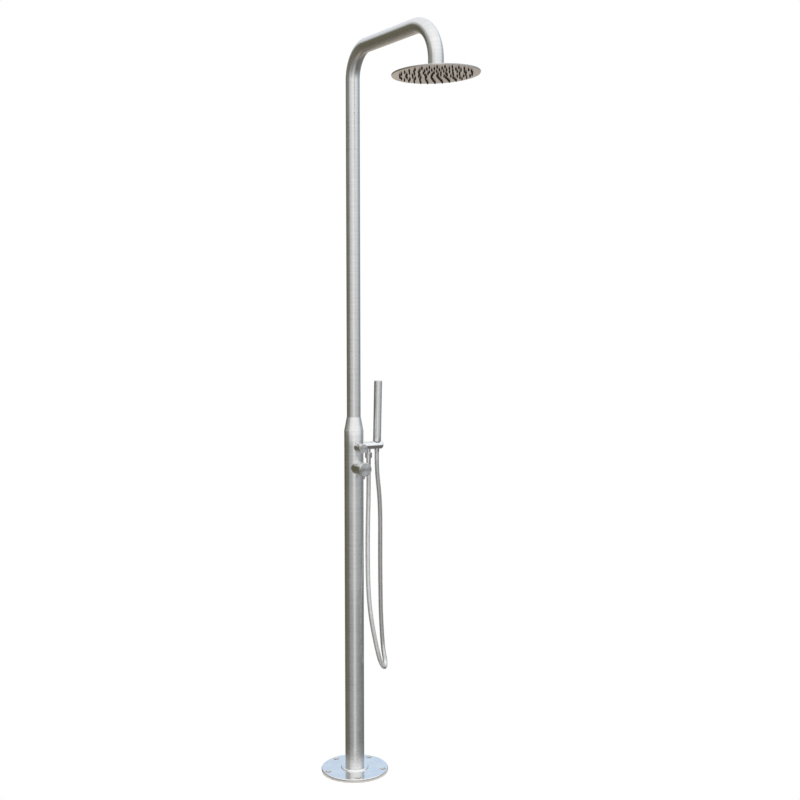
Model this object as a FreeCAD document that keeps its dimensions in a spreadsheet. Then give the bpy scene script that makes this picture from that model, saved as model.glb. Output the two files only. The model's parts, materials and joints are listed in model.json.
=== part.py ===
import FreeCAD, Part
import math
import os
import re

import Sketcher
from FreeCAD import Placement, Rotation, Vector

# Free-standing outdoor shower post in stainless steel, in millimetres.
# Origin: centre of the floor plate's underside. +Z is up, +X runs along the
# overhead arm and the two valve spindles, +Y along the handset bar.

DRIVING = {
    # floor plate and its collar
    "plate_diameter": 212, "plate_thickness": 11, "plate_bevel": 1.5,
    "pipe_entry_diameter": 52, "bolt_circle_diameter": 182, "bolt_count": 5,
    "bolt_hole_diameter": 13, "countersink_diameter": 19, "first_bolt_angle": 50,
    "collar_diameter": 87, "collar_height": 4, "collar_bevel": 1.8,
    # lower column, reducer and bent riser tube
    "column_diameter": 60, "column_wall": 2, "column_head": 51,
    "cone_length": 42, "riser_diameter": 43, "riser_wall": 1.5,
    "arm_height": 2241, "arm_reach": 480, "riser_bend_radius": 90,
    "drop_bend_radius": 110, "drop_length": 19.5,
    "riser_plug_length": 10, "plug_gap": 0.1,
    # ball joint between the arm and the rain head
    "nipple_recess": 4, "nipple_thickness": 5, "neck_diameter": 8,
    "ball_diameter": 13, "ball_drop": 8.5, "ball_to_face": 10.5,
    "seat_thickness": 1.65, "running_gap": 0.05, "seat_half_height": 4.2,
    "socket_diameter": 23, "ball_nut_diameter": 28, "ball_nut_top_diameter": 22,
    "ball_nut_height": 9.3, "ball_nut_bevel": 3, "nut_mouth_diameter": 12.2,
    "nipple_waterway": 4.5, "head_lean": 2.75, "head_lean_azimuth": 28,
    # rain head
    "head_diameter": 242, "face_thickness": 1.2, "shell_wall": 1.2, "shell_lip": 2.8,
    "shell_rim_width": 3, "shell_shoulder_diameter": 96, "shell_rise": 3.4,
    "nozzle_ring_count": 6, "first_ring_radius": 13, "nozzle_ring_step": 17,
    "first_ring_nozzles": 5, "nozzle_turn": 66,
    "nozzle_base_diameter": 5.2, "nozzle_tip_diameter": 3.4, "nozzle_length": 5.5,
    # mixer valve
    "mixer_height": 971, "mixer_diameter": 42, "mixer_housing_reach": 50,
    "mixer_reach": 77, "mixer_boss_diameter": 36.6, "mixer_boss_reach": 45,
    "mixer_cavity_diameter": 32, "cavity_floor": 2, "mixer_body_height": 60,
    "valve_body_diameter": 50, "cartridge_length": 33, "cartridge_nut_length": 7,
    "cartridge_nut_bore": 20, "mixer_stem_diameter": 10, "mixer_stem_start": 22,
    "mixer_knob_wall": 3.5, "mixer_knob_recess": 9, "mixer_pin_diameter": 7,
    "mixer_pin_reach": 9, "mixer_pin_place": 66, "mixer_pin_turn": 180,
    # diverter valve
    "valve_spacing": 64, "diverter_diameter": 28, "diverter_housing_reach": 42,
    "diverter_reach": 64, "diverter_boss_diameter": 22.6, "diverter_boss_reach": 38,
    "diverter_cavity_diameter": 19, "diverter_body_height": 50,
    "diverter_cartridge_length": 26, "diverter_stem_diameter": 7,
    "diverter_stem_start": 18, "diverter_knob_wall": 3, "diverter_knob_recess": 6,
    "diverter_pin_diameter": 5, "diverter_pin_reach": 9, "diverter_pin_place": 55,
    "diverter_pin_turn": 48, "knob_gap": 0.5, "knob_bevel": 0.8,
    "pin_depth": 5, "passage_diameter": 8,
    # pipes inside the column
    "pipe_diameter": 15, "pipe_wall": 1, "pipe_spacing": 26, "socket_depth": 10,
    "coupling_diameter": 24, "coupling_length": 30, "coupling_base": 2,
    "thread_bore_diameter": 18.6, "thread_depth": 14, "coupling_shoulder": 4,
    # handset bar and hose outlet
    "bar_diameter": 25, "bar_reach": 100.5, "bar_end_round": 5,
    "spigot_diameter": 18, "spigot_start": 16, "bar_waterway": 10,
    "outlet_place": 52, "neck_outer_diameter": 13, "neck_length": 9.2,
    "outlet_thread_diameter": 19, "outlet_thread_length": 10, "outlet_bore": 9,
    "washer_thickness": 1.5, "flange_thickness": 1.6, "nut_diameter": 22,
    "nut_floor": 4.4, "nut_bevel": 1, "ferrule_diameter": 14, "ferrule_length": 20,
    # cradle, hose end and handset, measured along the leaning handset axis
    "cradle_place": 82, "cradle_lean": 1.3, "cradle_flat": 11.9, "cradle_gap": 0.3,
    "cone_top_diameter": 19.2, "cone_tip_diameter": 14.4, "cone_tip_drop": 21,
    "handset_diameter": 25, "handset_wall": 1, "handset_length": 175,
    "cone_nut_height": 14, "union_thread_diameter": 20.6, "union_depth": 12,
    "cone_bore": 12, "seat_gap": 0.1, "inlet_plug_length": 12,
    "end_cap_length": 6, "end_cap_dome": 1.2,
    "window_width": 12, "window_length": 56, "window_top_margin": 12,
    "spray_rows": 3, "spray_columns": 8, "spray_spacing": 6, "spray_row_spacing": 3.4,
    "spray_tip_diameter": 1.8, "spray_tip_height": 0.8,
    # hose
    "hose_diameter": 14, "hose_bore": 9, "hose_groove": 0.6, "hose_rib_count": 190,
    "hose_end_length": 14,
}

DERIVED = {
    "diverter_height": "mixer_height + valve_spacing",
    "column_top": "diverter_height + column_head",
    "column_length": "column_top - plate_thickness",
    "riser_base": "column_top + cone_length",
    "tube_end": "arm_height - drop_bend_radius - drop_length",
    "ball_height": "tube_end - ball_drop",
    "seat_outer_radius": "ball_diameter / 2 + running_gap + seat_thickness",
    "socket_radius": "seat_outer_radius + running_gap",
    "shell_top": "face_thickness + shell_wall + shell_rise",
    "column_bore_radius": "column_diameter / 2 - column_wall",
    "pipe_fit_radius": "pipe_diameter / 2 + running_gap",
    "mixer_top": "mixer_height + mixer_body_height / 2",
    "mixer_base": "mixer_height - mixer_body_height / 2",
    "diverter_top": "diverter_height + diverter_body_height / 2",
    "diverter_base": "diverter_height - diverter_body_height / 2",
    "bar_underside": "diverter_height - bar_diameter / 2",
    "outlet_thread_top": "bar_underside - neck_length",
    "outlet_thread_base": "outlet_thread_top - outlet_thread_length",
    "flange_top": "outlet_thread_base - washer_thickness",
    "nut_shoulder": "flange_top - flange_thickness",
    "nut_base": "nut_shoulder - nut_floor",
    "ferrule_base": "nut_base - ferrule_length",
    "cone_shoulder": "cradle_flat + seat_gap",
    "handset_base": "cone_shoulder + cone_nut_height",
    "handset_top": "handset_base + handset_length",
    "union_floor": "handset_base - union_depth",
    "handset_bore_radius": "handset_diameter / 2 - handset_wall",
}

# Hose route from the outlet ferrule to the cone nut: points chosen by hand
# between the two fixed ends, down one side of the loop and up the other.
HOSE_MIDDLE = [
    (9, 43, 764), (22, 36, 650), (34, 33, 560), (43, 37, 490), (50, 47, 425),
    (55, 60, 363), (42, 80, 334), (16, 102, 323), (-14, 119, 334),
    (-35, 123, 363), (-38, 120, 420), (-36, 115, 490), (-29, 110, 570),
    (-20, 104, 674), (-11, 100, 790), (-5, 94, 872),
]
HOSE_FIRST_RUN = 95
HOSE_LAST_RUN = 51
ARC_SHARE = 0.45
# Where one rib starts, reaches its full width, leaves it and ends, as shares
# of the rib pitch; the rest of the pitch is the groove.
RIB_SHARES = (0.0, 0.2, 0.7, 0.9)

doc = FreeCAD.newDocument("ShowerPost")
sheet = doc.addObject("Spreadsheet::Sheet", "Sizes")
nodes = []


def fill_sheet():
    """Write the driving sizes, then the sizes that follow from them."""
    row = 0
    for name, number in DRIVING.items():
        row += 1
        sheet.set("A%d" % row, name)
        sheet.set("B%d" % row, str(number))
        sheet.setAlias("B%d" % row, name)
    for name, formula in DERIVED.items():
        row += 1
        sheet.set("A%d" % row, name)
        sheet.set("B%d" % row, "=" + formula)
        sheet.setAlias("B%d" % row, name)
    doc.recompute()


def linked(formula):
    """Turn a formula of size names into an expression on the sheet."""
    def link(match):
        word = match.group(0)
        return "Sizes." + word if word in DRIVING or word in DERIVED else word
    return re.sub(r"[a-z][a-z_]*", link, str(formula))


def size(formula):
    """Number that a formula of size names has now."""
    return float(sheet.evalExpression(linked(formula)))


def bind(thing, **formulas):
    """Bind properties of an object to formulas of size names."""
    for name, formula in formulas.items():
        thing.setExpression(name, linked(formula))
    return thing


FORWARD = Rotation(Vector(0, 1, 0), 90)
SIDEWAYS = Rotation(Vector(1, 0, 0), -90)


def place(thing, x=0, y=0, z=0, turn=None):
    """Put an object's origin at formulas of size names, turned if asked."""
    if turn is not None:
        thing.Placement = Placement(Vector(), turn)
    for axis, formula in (("x", x), ("y", y), ("z", z)):
        if formula != 0:
            thing.setExpression("Placement.Base." + axis, linked(formula))
    return thing


def cylinder(name, diameter, length, **spot):
    """Round bar of a diameter and length along its own Z axis."""
    bar = doc.addObject("Part::Cylinder", name)
    bind(bar, Radius="(%s) / 2" % diameter, Height=length)
    return place(bar, **spot)


def cone(name, diameter_low, diameter_high, length, **spot):
    """Cone along its own Z axis."""
    taper = doc.addObject("Part::Cone", name)
    bind(taper, Radius1="(%s) / 2" % diameter_low, Radius2="(%s) / 2" % diameter_high,
         Height=length)
    return place(taper, **spot)


def ball(name, diameter, **spot):
    """Ball of a diameter."""
    return place(bind(doc.addObject("Part::Sphere", name), Radius="(%s) / 2" % diameter), **spot)


def fuse(name, shapes):
    """One solid out of several that meet."""
    joined = doc.addObject("Part::MultiFuse", name)
    joined.Shapes = shapes
    joined.Refine = True
    return joined


def cut(name, base, tools):
    """Base with every tool taken away."""
    for index, tool in enumerate(tools):
        last = index == len(tools) - 1
        taken = doc.addObject("Part::Cut", name if last else "%s_step%d" % (name, index))
        taken.Base = base
        taken.Tool = tool
        base = taken
    return base


def outline_sketch(body, outline):
    """Closed polygon of (radius, height) formulas on the body's XZ plane."""
    sketch = body.newObject("Sketcher::SketchObject", body.Name + "_outline")
    plane = [p for p in body.Origin.OriginFeatures if p.Role == "XZ_Plane"]
    sketch.AttachmentSupport = (plane[0], [""])
    sketch.MapMode = "FlatFace"
    corners = [Vector(size(r), size(h), 0) for r, h in outline]
    count = len(corners)
    for index in range(count):
        line = Part.LineSegment(corners[index], corners[(index + 1) % count])
        sketch.addGeometry(line, False)
    for index in range(count):
        sketch.addConstraint(Sketcher.Constraint("Coincident", index, 2, (index + 1) % count, 1))
    for index, (radius, height) in enumerate(outline):
        for kind, formula in (("DistanceX", radius), ("DistanceY", height)):
            number = sketch.addConstraint(
                Sketcher.Constraint(kind, -1, 1, index, 1, size(formula)))
            sketch.setExpression("Constraints[%d]" % number, linked(formula))
    return sketch


def turned(name, outline, **spot):
    """Body turned about its own Z axis from an outline of formulas."""
    body = doc.addObject("PartDesign::Body", name)
    sketch = outline_sketch(body, outline)
    spin = body.newObject("PartDesign::Revolution", name + "_turned")
    spin.Profile = sketch
    spin.ReferenceAxis = (sketch, ["V_Axis"])
    spin.Angle = 360
    return place(body, **spot)


def ring(name, outer, bore, low, high, **spot):
    """Turned ring from diameters and heights given as formulas."""
    outline = [("(%s) / 2" % bore, low), ("(%s) / 2" % outer, low),
               ("(%s) / 2" % outer, high), ("(%s) / 2" % bore, high)]
    return turned(name, outline, **spot)


def node(name, thing):
    """Name a finished piece."""
    thing.Label = name
    nodes.append(thing)
    return thing


def base_plate():
    """Round floor plate with a pipe entry and countersunk anchor holes."""
    rim = "plate_diameter / 2"
    plate = turned("plate_blank", [
        ("pipe_entry_diameter / 2", "0"), (rim, "0"),
        (rim, "plate_thickness - plate_bevel"),
        (rim + " - plate_bevel", "plate_thickness"),
        ("pipe_entry_diameter / 2", "plate_thickness")])
    doc.recompute()
    spots = plate.newObject("Sketcher::SketchObject", "bolt_centre")
    floor = [p for p in plate.Origin.OriginFeatures if p.Role == "XY_Plane"]
    spots.AttachmentSupport = (floor[0], [""])
    spots.MapMode = "FlatFace"
    spots.setExpression("AttachmentOffset.Base.z", linked("plate_thickness"))
    reach = size("bolt_circle_diameter / 2")
    angle = math.radians(size("first_bolt_angle"))
    spots.addGeometry(Part.Circle(Vector(reach * math.cos(angle), reach * math.sin(angle), 0),
                                  Vector(0, 0, 1), size("bolt_hole_diameter / 2")), False)
    for kind, formula in (("DistanceX", "bolt_circle_diameter / 2 * cos(first_bolt_angle * 1 deg)"),
                          ("DistanceY", "bolt_circle_diameter / 2 * sin(first_bolt_angle * 1 deg)")):
        number = spots.addConstraint(Sketcher.Constraint(kind, -1, 1, 0, 3, size(formula)))
        spots.setExpression("Constraints[%d]" % number, linked(formula))
    number = spots.addConstraint(Sketcher.Constraint("Diameter", 0, size("bolt_hole_diameter")))
    spots.setExpression("Constraints[%d]" % number, linked("bolt_hole_diameter"))
    doc.recompute()
    hole = plate.newObject("PartDesign::Hole", "bolt_hole")
    hole.Profile = spots
    hole.ThreadType = 0
    hole.DepthType = "ThroughAll"
    hole.HoleCutType = "Countersink"
    hole.HoleCutCustomValues = True
    hole.HoleCutCountersinkAngle = 90
    bind(hole, Diameter="bolt_hole_diameter", HoleCutDiameter="countersink_diameter")
    doc.recompute()
    holes = plate.newObject("PartDesign::PolarPattern", "bolt_holes")
    holes.Originals = [hole]
    upright = [a for a in plate.Origin.OriginFeatures if a.Role == "Z_Axis"]
    holes.Axis = (upright[0], [""])
    holes.Angle = 360
    bind(holes, Occurrences="bolt_count")
    plate.Tip = holes
    return node("base_plate", plate)


def column_parts():
    """Collar, lower column, reducer and the plug at the riser's foot."""
    shaft = "column_diameter / 2"
    node("base_collar", turned("collar", [
        (shaft, "0"), ("collar_diameter / 2", "0"),
        ("collar_diameter / 2", "collar_height - collar_bevel"),
        ("collar_diameter / 2 - collar_bevel", "collar_height"),
        (shaft, "collar_height")], z="plate_thickness"))
    tube = ring("column_blank", "column_diameter", "column_bore_radius * 2", "0",
                "column_length", z="plate_thickness")
    openings = [
        cylinder("mixer_opening", "mixer_boss_diameter + 4 * plug_gap", "column_diameter",
                 z="mixer_height", turn=FORWARD),
        cylinder("diverter_opening", "diverter_boss_diameter + 4 * plug_gap",
                 "column_diameter", z="diverter_height", turn=FORWARD),
        cylinder("bar_opening", "spigot_diameter + 4 * plug_gap", "column_diameter",
                 z="diverter_height", turn=SIDEWAYS)]
    node("column_tube", cut("column", tube, openings))
    node("reducer_cone", turned("reducer", [
        ("column_bore_radius", "0"), (shaft, "0"), ("riser_diameter / 2", "cone_length"),
        ("riser_diameter / 2 - riser_wall", "cone_length")], z="column_top"))
    node("riser_plug", turned("foot_plug", [
        ("pipe_fit_radius", "0"), ("riser_diameter / 2 - riser_wall - plug_gap", "0"),
        ("riser_diameter / 2 - riser_wall - plug_gap", "riser_plug_length"),
        ("pipe_diameter / 2 - pipe_wall", "riser_plug_length"),
        ("pipe_diameter / 2 - pipe_wall", "riser_plug_length - pipe_wall"),
        ("pipe_fit_radius", "riser_plug_length - pipe_wall")], z="riser_base"))


def riser_arm_tube():
    """One tube bent twice: up, over and down to the rain head."""
    body = doc.addObject("PartDesign::Body", "riser_arm")
    planes = {p.Role: p for p in body.Origin.OriginFeatures}
    path = body.newObject("Sketcher::SketchObject", "riser_path")
    path.AttachmentSupport = (planes["XZ_Plane"], [""])
    path.MapMode = "FlatFace"
    base, top, end = size("riser_base"), size("arm_height"), size("tube_end")
    reach, first, second = size("arm_reach"), size("riser_bend_radius"), size("drop_bend_radius")
    up, along, down = Vector(0, 0, 1), Vector(first, top, 0), Vector(reach - second, top, 0)
    path.addGeometry(Part.LineSegment(Vector(0, base, 0), Vector(0, top - first, 0)), False)
    path.addGeometry(Part.ArcOfCircle(Part.Circle(Vector(first, top - first, 0), up, first),
                                      math.pi / 2, math.pi), False)
    path.addGeometry(Part.LineSegment(along, down), False)
    path.addGeometry(Part.ArcOfCircle(Part.Circle(Vector(reach - second, top - second, 0), up,
                                                  second), 0, math.pi / 2), False)
    path.addGeometry(Part.LineSegment(Vector(reach, top - second, 0),
                                      Vector(reach, end, 0)), False)
    for kind in (("Vertical", 0), ("Horizontal", 2), ("Vertical", 4)):
        path.addConstraint(Sketcher.Constraint(*kind))
    for joint in ((0, 2, 1, 2), (1, 1, 2, 1), (2, 2, 3, 2), (3, 1, 4, 1)):
        path.addConstraint(Sketcher.Constraint("Tangent", *joint))
    for kind, place_of, formula in (
            ("DistanceX", (-1, 1, 0, 1), "0"), ("DistanceY", (-1, 1, 0, 1), "riser_base"),
            ("DistanceY", (-1, 1, 2, 1), "arm_height"),
            ("DistanceX", (-1, 1, 4, 2), "arm_reach"), ("DistanceY", (-1, 1, 4, 2), "tube_end"),
            ("Radius", (1,), "riser_bend_radius"), ("Radius", (3,), "drop_bend_radius")):
        number = path.addConstraint(Sketcher.Constraint(kind, *place_of, size(formula)))
        path.setExpression("Constraints[%d]" % number, linked(formula))
    section = body.newObject("Sketcher::SketchObject", "riser_section")
    section.AttachmentSupport = (planes["XY_Plane"], [""])
    section.MapMode = "FlatFace"
    section.setExpression("AttachmentOffset.Base.z", linked("riser_base"))
    for index, formula in enumerate(("riser_diameter", "riser_diameter - 2 * riser_wall")):
        section.addGeometry(Part.Circle(Vector(), up, size(formula) / 2), False)
        section.addConstraint(Sketcher.Constraint("Coincident", index, 3, -1, 1))
        number = section.addConstraint(Sketcher.Constraint("Diameter", index, size(formula)))
        section.setExpression("Constraints[%d]" % number, linked(formula))
    sweep = body.newObject("PartDesign::AdditivePipe", "riser_sweep")
    sweep.Profile = section
    sweep.Spine = (path, ["Edge%d" % edge for edge in range(1, 6)])
    return node("riser_arm_tube", body)


def head_place(thing):
    """Hang a piece of the rain head on the ball centre with the head's lean."""
    azimuth = math.radians(size("head_lean_azimuth"))
    axis = Vector(-math.sin(azimuth), math.cos(azimuth), 0)
    thing.Placement = Placement(Vector(), Rotation(axis, -size("head_lean")))
    return place(thing, x="arm_reach", z="ball_height")


def ball_joint():
    """Ball nipple in the arm's end, its seat ring and the clamping nut."""
    plug = cylinder("nipple_plug", "riser_diameter - 2 * riser_wall - 2 * plug_gap",
                    "nipple_thickness", z="ball_drop + nipple_recess")
    neck = cylinder("nipple_neck", "neck_diameter", "ball_drop + nipple_recess + running_gap")
    nipple = fuse("nipple_solid", [plug, neck, ball("nipple_ball", "ball_diameter")])
    bore = cylinder("nipple_bore", "nipple_waterway", "2 * arm_reach", z="-arm_reach")
    node("ball_nipple", place(cut("nipple", nipple, [bore]), x="arm_reach", z="ball_height"))

    band = cylinder("seat_band", "4 * seat_outer_radius", "2 * seat_half_height",
                    z="-seat_half_height")
    shell = doc.addObject("Part::Common", "seat_zone")
    shell.Base = ball("seat_outside", "2 * seat_outer_radius")
    shell.Tool = band
    hollow = ball("seat_inside", "ball_diameter + 2 * running_gap")
    node("ball_seat_ring", place(cut("seat", shell, [hollow]), x="arm_reach", z="ball_height"))

    rise = "shell_top - ball_to_face"
    blank = turned("nut_blank", [
        ("0", "running_gap"), ("socket_diameter / 2 + running_gap", "running_gap"),
        ("socket_diameter / 2 + running_gap", rise + " + seat_gap"),
        ("ball_nut_diameter / 2", rise + " + seat_gap"),
        ("ball_nut_diameter / 2", rise + " + ball_nut_height - ball_nut_bevel"),
        ("ball_nut_top_diameter / 2", rise + " + ball_nut_height"),
        ("0", rise + " + ball_nut_height")])
    mouth = cylinder("nut_mouth", "nut_mouth_diameter", "ball_drop * 2")
    cavity = ball("nut_cavity", "2 * socket_radius")
    node("ball_nut", head_place(cut("nut", blank, [cavity, mouth])))


def rain_head():
    """Thin back shell with its ball socket, the face plate and its nozzles."""
    rim = "head_diameter / 2"
    low = "face_thickness - ball_to_face"
    top = "shell_top - ball_to_face"
    shoulder = "shell_shoulder_diameter / 2"
    hub = "socket_diameter / 2"
    blank = turned("shell_blank", [
        ("nipple_waterway", low + " + shell_rise"), (shoulder, low + " + shell_rise / 2"),
        (rim + " - shell_rim_width", low + " + shell_lip - shell_wall"),
        (rim + " - shell_rim_width", low), (rim, low), (rim, low + " + shell_lip"),
        (shoulder, low + " + shell_wall + shell_rise / 2"),
        ("ball_nut_diameter / 2", top), (hub, top), (hub, "0"), ("nipple_waterway", "0")])
    socket = ball("socket_cavity", "2 * socket_radius")
    node("head_back_shell", head_place(cut("shell", blank, [socket])))

    spots = []
    first_turn = math.radians(size("nozzle_turn"))
    for index in range(int(size("nozzle_ring_count"))):
        radius = size("first_ring_radius") + size("nozzle_ring_step") * index
        count = int(size("first_ring_nozzles")) * (index + 1)
        for step in range(count):
            turn = first_turn + 2 * math.pi * step / count
            spots.append(Vector(radius * math.cos(turn), radius * math.sin(turn), 0))
    floor = -size("ball_to_face")
    thick = size("face_thickness")
    base, tip = size("nozzle_base_diameter / 2"), size("nozzle_tip_diameter / 2")
    face = Part.makeCylinder(size(rim), thick, Vector(0, 0, floor))
    holes = [Part.makeCylinder(tip, thick, Vector(s.x, s.y, floor)) for s in spots]
    plate = doc.addObject("Part::Feature", "face_plate")
    plate.Shape = face.cut(Part.makeCompound(holes))
    node("head_face_plate", head_place(plate))
    length = size("nozzle_length")
    pegs = [Part.makeCone(tip, base, length, Vector(s.x, s.y, floor - length)) for s in spots]
    nozzles = doc.addObject("Part::Feature", "nozzles")
    nozzles.Shape = Part.makeCompound(pegs)
    node("head_nozzles", head_place(nozzles))


def valve_body(name, side):
    """Brass block inside the column that carries one cartridge on a boss."""
    height, boss = side + "_height", side + "_boss_diameter"
    block = cylinder(name + "_block", "valve_body_diameter", side + "_body_height",
                     z=side + "_base")
    nose = cylinder(name + "_nose", boss, side + "_boss_reach", z=height, turn=FORWARD)
    return fuse(name + "_solid", [block, nose])


def mixer():
    """Mixer valve: block, housing, cartridge, its nut, stem, knob and lever pin."""
    solid = valve_body("mixer_body", "mixer")
    half = "pipe_spacing / 2"
    tools = [cylinder("mixer_cavity", "mixer_cavity_diameter", "mixer_reach",
                      x="cavity_floor", z="mixer_height", turn=FORWARD)]
    for index, y in enumerate((half, "-" + half)):
        tools.append(cylinder("inlet_socket%d" % index, "2 * pipe_fit_radius", "socket_depth",
                              y=y, z="mixer_base"))
        tools.append(cylinder("inlet_passage%d" % index, "passage_diameter",
                              "mixer_body_height / 2", y=y, z="mixer_base"))
    tools.append(cylinder("mixed_socket", "2 * pipe_fit_radius", "socket_depth",
                          z="mixer_top - socket_depth"))
    tools.append(cylinder("mixed_passage", "passage_diameter", "mixer_body_height / 2",
                          z="mixer_height"))
    node("mixer_valve_body", cut("mixer_block", solid, tools))

    sleeve = ring("mixer_sleeve", "mixer_diameter", "mixer_boss_diameter + 2 * plug_gap",
                  "0", "mixer_housing_reach", z="mixer_height", turn=FORWARD)
    skin = cylinder("column_skin_mixer", "column_diameter", "arm_height")
    node("mixer_housing", cut("mixer_shell", sleeve, [skin]))

    start = "cavity_floor + seat_gap"
    end = "cavity_floor + cartridge_length"
    bore = "mixer_stem_diameter / 2 + running_gap"
    wide = "mixer_cavity_diameter / 2 - plug_gap"
    node("mixer_cartridge", turned("mixer_capsule", [
        ("0", start), (wide, start), (wide, end), (bore, end), (bore, "mixer_stem_start"),
        ("0", "mixer_stem_start")], z="mixer_height", turn=FORWARD))
    node("mixer_cartridge_nut", ring(
        "mixer_lock_ring", "mixer_cavity_diameter - 2 * plug_gap", "cartridge_nut_bore",
        end + " + seat_gap", end + " + cartridge_nut_length", z="mixer_height", turn=FORWARD))
    hollow = "mixer_housing_reach + mixer_knob_recess"
    stem_end = hollow + " + mixer_stem_diameter"
    node("mixer_stem", turned("mixer_spindle", [
        ("0", "mixer_stem_start + seat_gap"),
        ("mixer_stem_diameter / 2", "mixer_stem_start + seat_gap"),
        ("mixer_stem_diameter / 2", stem_end), ("0", stem_end)],
        z="mixer_height", turn=FORWARD))
    knob("mixer", hollow, stem_end)


def knob(side, hollow, stem_end):
    """Cup-shaped knob on its stem, with a lever pin screwed in from the rim."""
    rim = side + "_diameter / 2"
    inner = rim + " - %s_knob_wall" % side
    bore = side + "_stem_diameter / 2 + running_gap"
    mouth = side + "_housing_reach + knob_gap"
    blank = turned(side + "_knob_blank", [
        ("0", stem_end + " + seat_gap"), (bore, stem_end + " + seat_gap"), (bore, hollow),
        (inner, hollow), (inner, mouth), (rim, mouth), (rim, side + "_reach - knob_bevel"),
        (rim + " - knob_bevel", side + "_reach"), ("0", side + "_reach")],
        z=side + "_height", turn=FORWARD)
    lean = Rotation(Vector(1, 0, 0), size(side + "_pin_turn"))
    hole = cylinder(side + "_pin_hole", side + "_pin_diameter + 2 * running_gap", side + "_reach",
                    x=side + "_pin_place", z=side + "_height", turn=lean)
    core = cylinder(side + "_pin_core", side + "_diameter - 2 * pin_depth", side + "_reach",
                    z=side + "_height", turn=FORWARD)
    socket = cut(side + "_pin_socket", hole, [core])
    node(side + "_knob", cut(side + "_handle", blank, [socket]))
    foot = rim + " - pin_depth + seat_gap"
    tip = rim + " + %s_pin_reach" % side
    pin = "%s_pin_diameter / 2" % side
    node(side + "_lever_pin", turned(side + "_lever", [
        ("0", foot + " + plug_gap"), (pin, foot + " + plug_gap"),
        (pin, tip + " - knob_bevel"), (pin + " - knob_bevel", tip), ("0", tip)],
        x=side + "_pin_place", z=side + "_height", turn=lean))


def diverter():
    """Diverter valve: block, housing, cartridge, stem, knob and lever pin."""
    solid = valve_body("diverter_body", "diverter")
    floor = "cavity_floor"
    half = "diverter_body_height / 2"
    tools = [
        cylinder("diverter_cavity", "diverter_cavity_diameter", "diverter_reach",
                 x=floor, z="diverter_height", turn=FORWARD),
        cylinder("diverter_inlet", "2 * pipe_fit_radius", "socket_depth", z="diverter_base"),
        cylinder("diverter_passage", "passage_diameter", "diverter_body_height",
                 z="diverter_base"),
        cylinder("diverter_outlet", "2 * pipe_fit_radius", "socket_depth",
                 z="diverter_top - socket_depth"),
        cylinder("bar_socket", "spigot_diameter + 2 * running_gap", half,
                 y="spigot_start - seat_gap", z="diverter_height", turn=SIDEWAYS),
        cylinder("bar_passage", "passage_diameter", half, z="diverter_height", turn=SIDEWAYS)]
    node("diverter_valve_body", cut("diverter_block", solid, tools))

    sleeve = ring("diverter_sleeve", "diverter_diameter",
                  "diverter_boss_diameter + 2 * plug_gap", "0", "diverter_housing_reach",
                  z="diverter_height", turn=FORWARD)
    skin = cylinder("column_skin_diverter", "column_diameter", "arm_height")
    flank = cylinder("bar_skin_diverter", "bar_diameter + 2 * cradle_gap", "bar_reach",
                     z="diverter_height", turn=SIDEWAYS)
    node("diverter_housing", cut("diverter_shell", sleeve, [skin, flank]))

    start = floor + " + passage_diameter / 2 + seat_gap"
    end = floor + " + passage_diameter / 2 + diverter_cartridge_length"
    bore = "diverter_stem_diameter / 2 + running_gap"
    wide = "diverter_cavity_diameter / 2 - plug_gap"
    node("diverter_cartridge", turned("diverter_capsule", [
        ("0", start), (wide, start), (wide, end), (bore, end), (bore, "diverter_stem_start"),
        ("0", "diverter_stem_start")], z="diverter_height", turn=FORWARD))
    hollow = "diverter_housing_reach + diverter_knob_recess"
    stem_end = hollow + " + diverter_stem_diameter"
    node("diverter_stem", turned("diverter_spindle", [
        ("0", "diverter_stem_start + seat_gap"),
        ("diverter_stem_diameter / 2", "diverter_stem_start + seat_gap"),
        ("diverter_stem_diameter / 2", stem_end), ("0", stem_end)],
        z="diverter_height", turn=FORWARD))
    knob("diverter", hollow, stem_end)


def pipes():
    """Copper pipes and inlet couplings inside the column."""
    bore = "pipe_diameter - 2 * pipe_wall"
    low = "coupling_base + thread_depth + coupling_shoulder"
    wide = "coupling_diameter / 2"
    for name, y in (("hot", "pipe_spacing / 2"), ("cold", "-pipe_spacing / 2")):
        node(name + "_inlet_pipe", ring(name + "_pipe", "pipe_diameter", bore,
                                        low + " + seat_gap",
                                        "mixer_base + socket_depth - seat_gap", y=y))
        node(name + "_inlet_coupling", turned(name + "_coupling", [
            ("thread_bore_diameter / 2", "coupling_base"), (wide, "coupling_base"),
            (wide, "coupling_base + coupling_length"),
            ("pipe_fit_radius", "coupling_base + coupling_length"), ("pipe_fit_radius", low),
            ("pipe_diameter / 2 - pipe_wall", low),
            ("pipe_diameter / 2 - pipe_wall", "coupling_base + thread_depth"),
            ("thread_bore_diameter / 2", "coupling_base + thread_depth")], y=y))
    node("mixed_water_pipe", ring("mixed_pipe", "pipe_diameter", bore,
                                  "mixer_top - socket_depth + seat_gap",
                                  "diverter_base + socket_depth - seat_gap"))
    node("riser_feed_pipe", ring("feed_pipe", "pipe_diameter", bore,
                                 "diverter_top - socket_depth + seat_gap",
                                 "riser_base + riser_plug_length - pipe_wall - seat_gap"))


def leaning(thing, along="0"):
    """Stand a piece on the cradle's leaning axis, a distance along it."""
    lean = "cradle_lean * 1 deg"
    thing.Placement = Placement(Vector(), Rotation(Vector(1, 0, 0), -size("cradle_lean")))
    return place(thing, y="cradle_place + (%s) * sin(%s)" % (along, lean),
                 z="diverter_height + (%s) * cos(%s)" % (along, lean))


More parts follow.
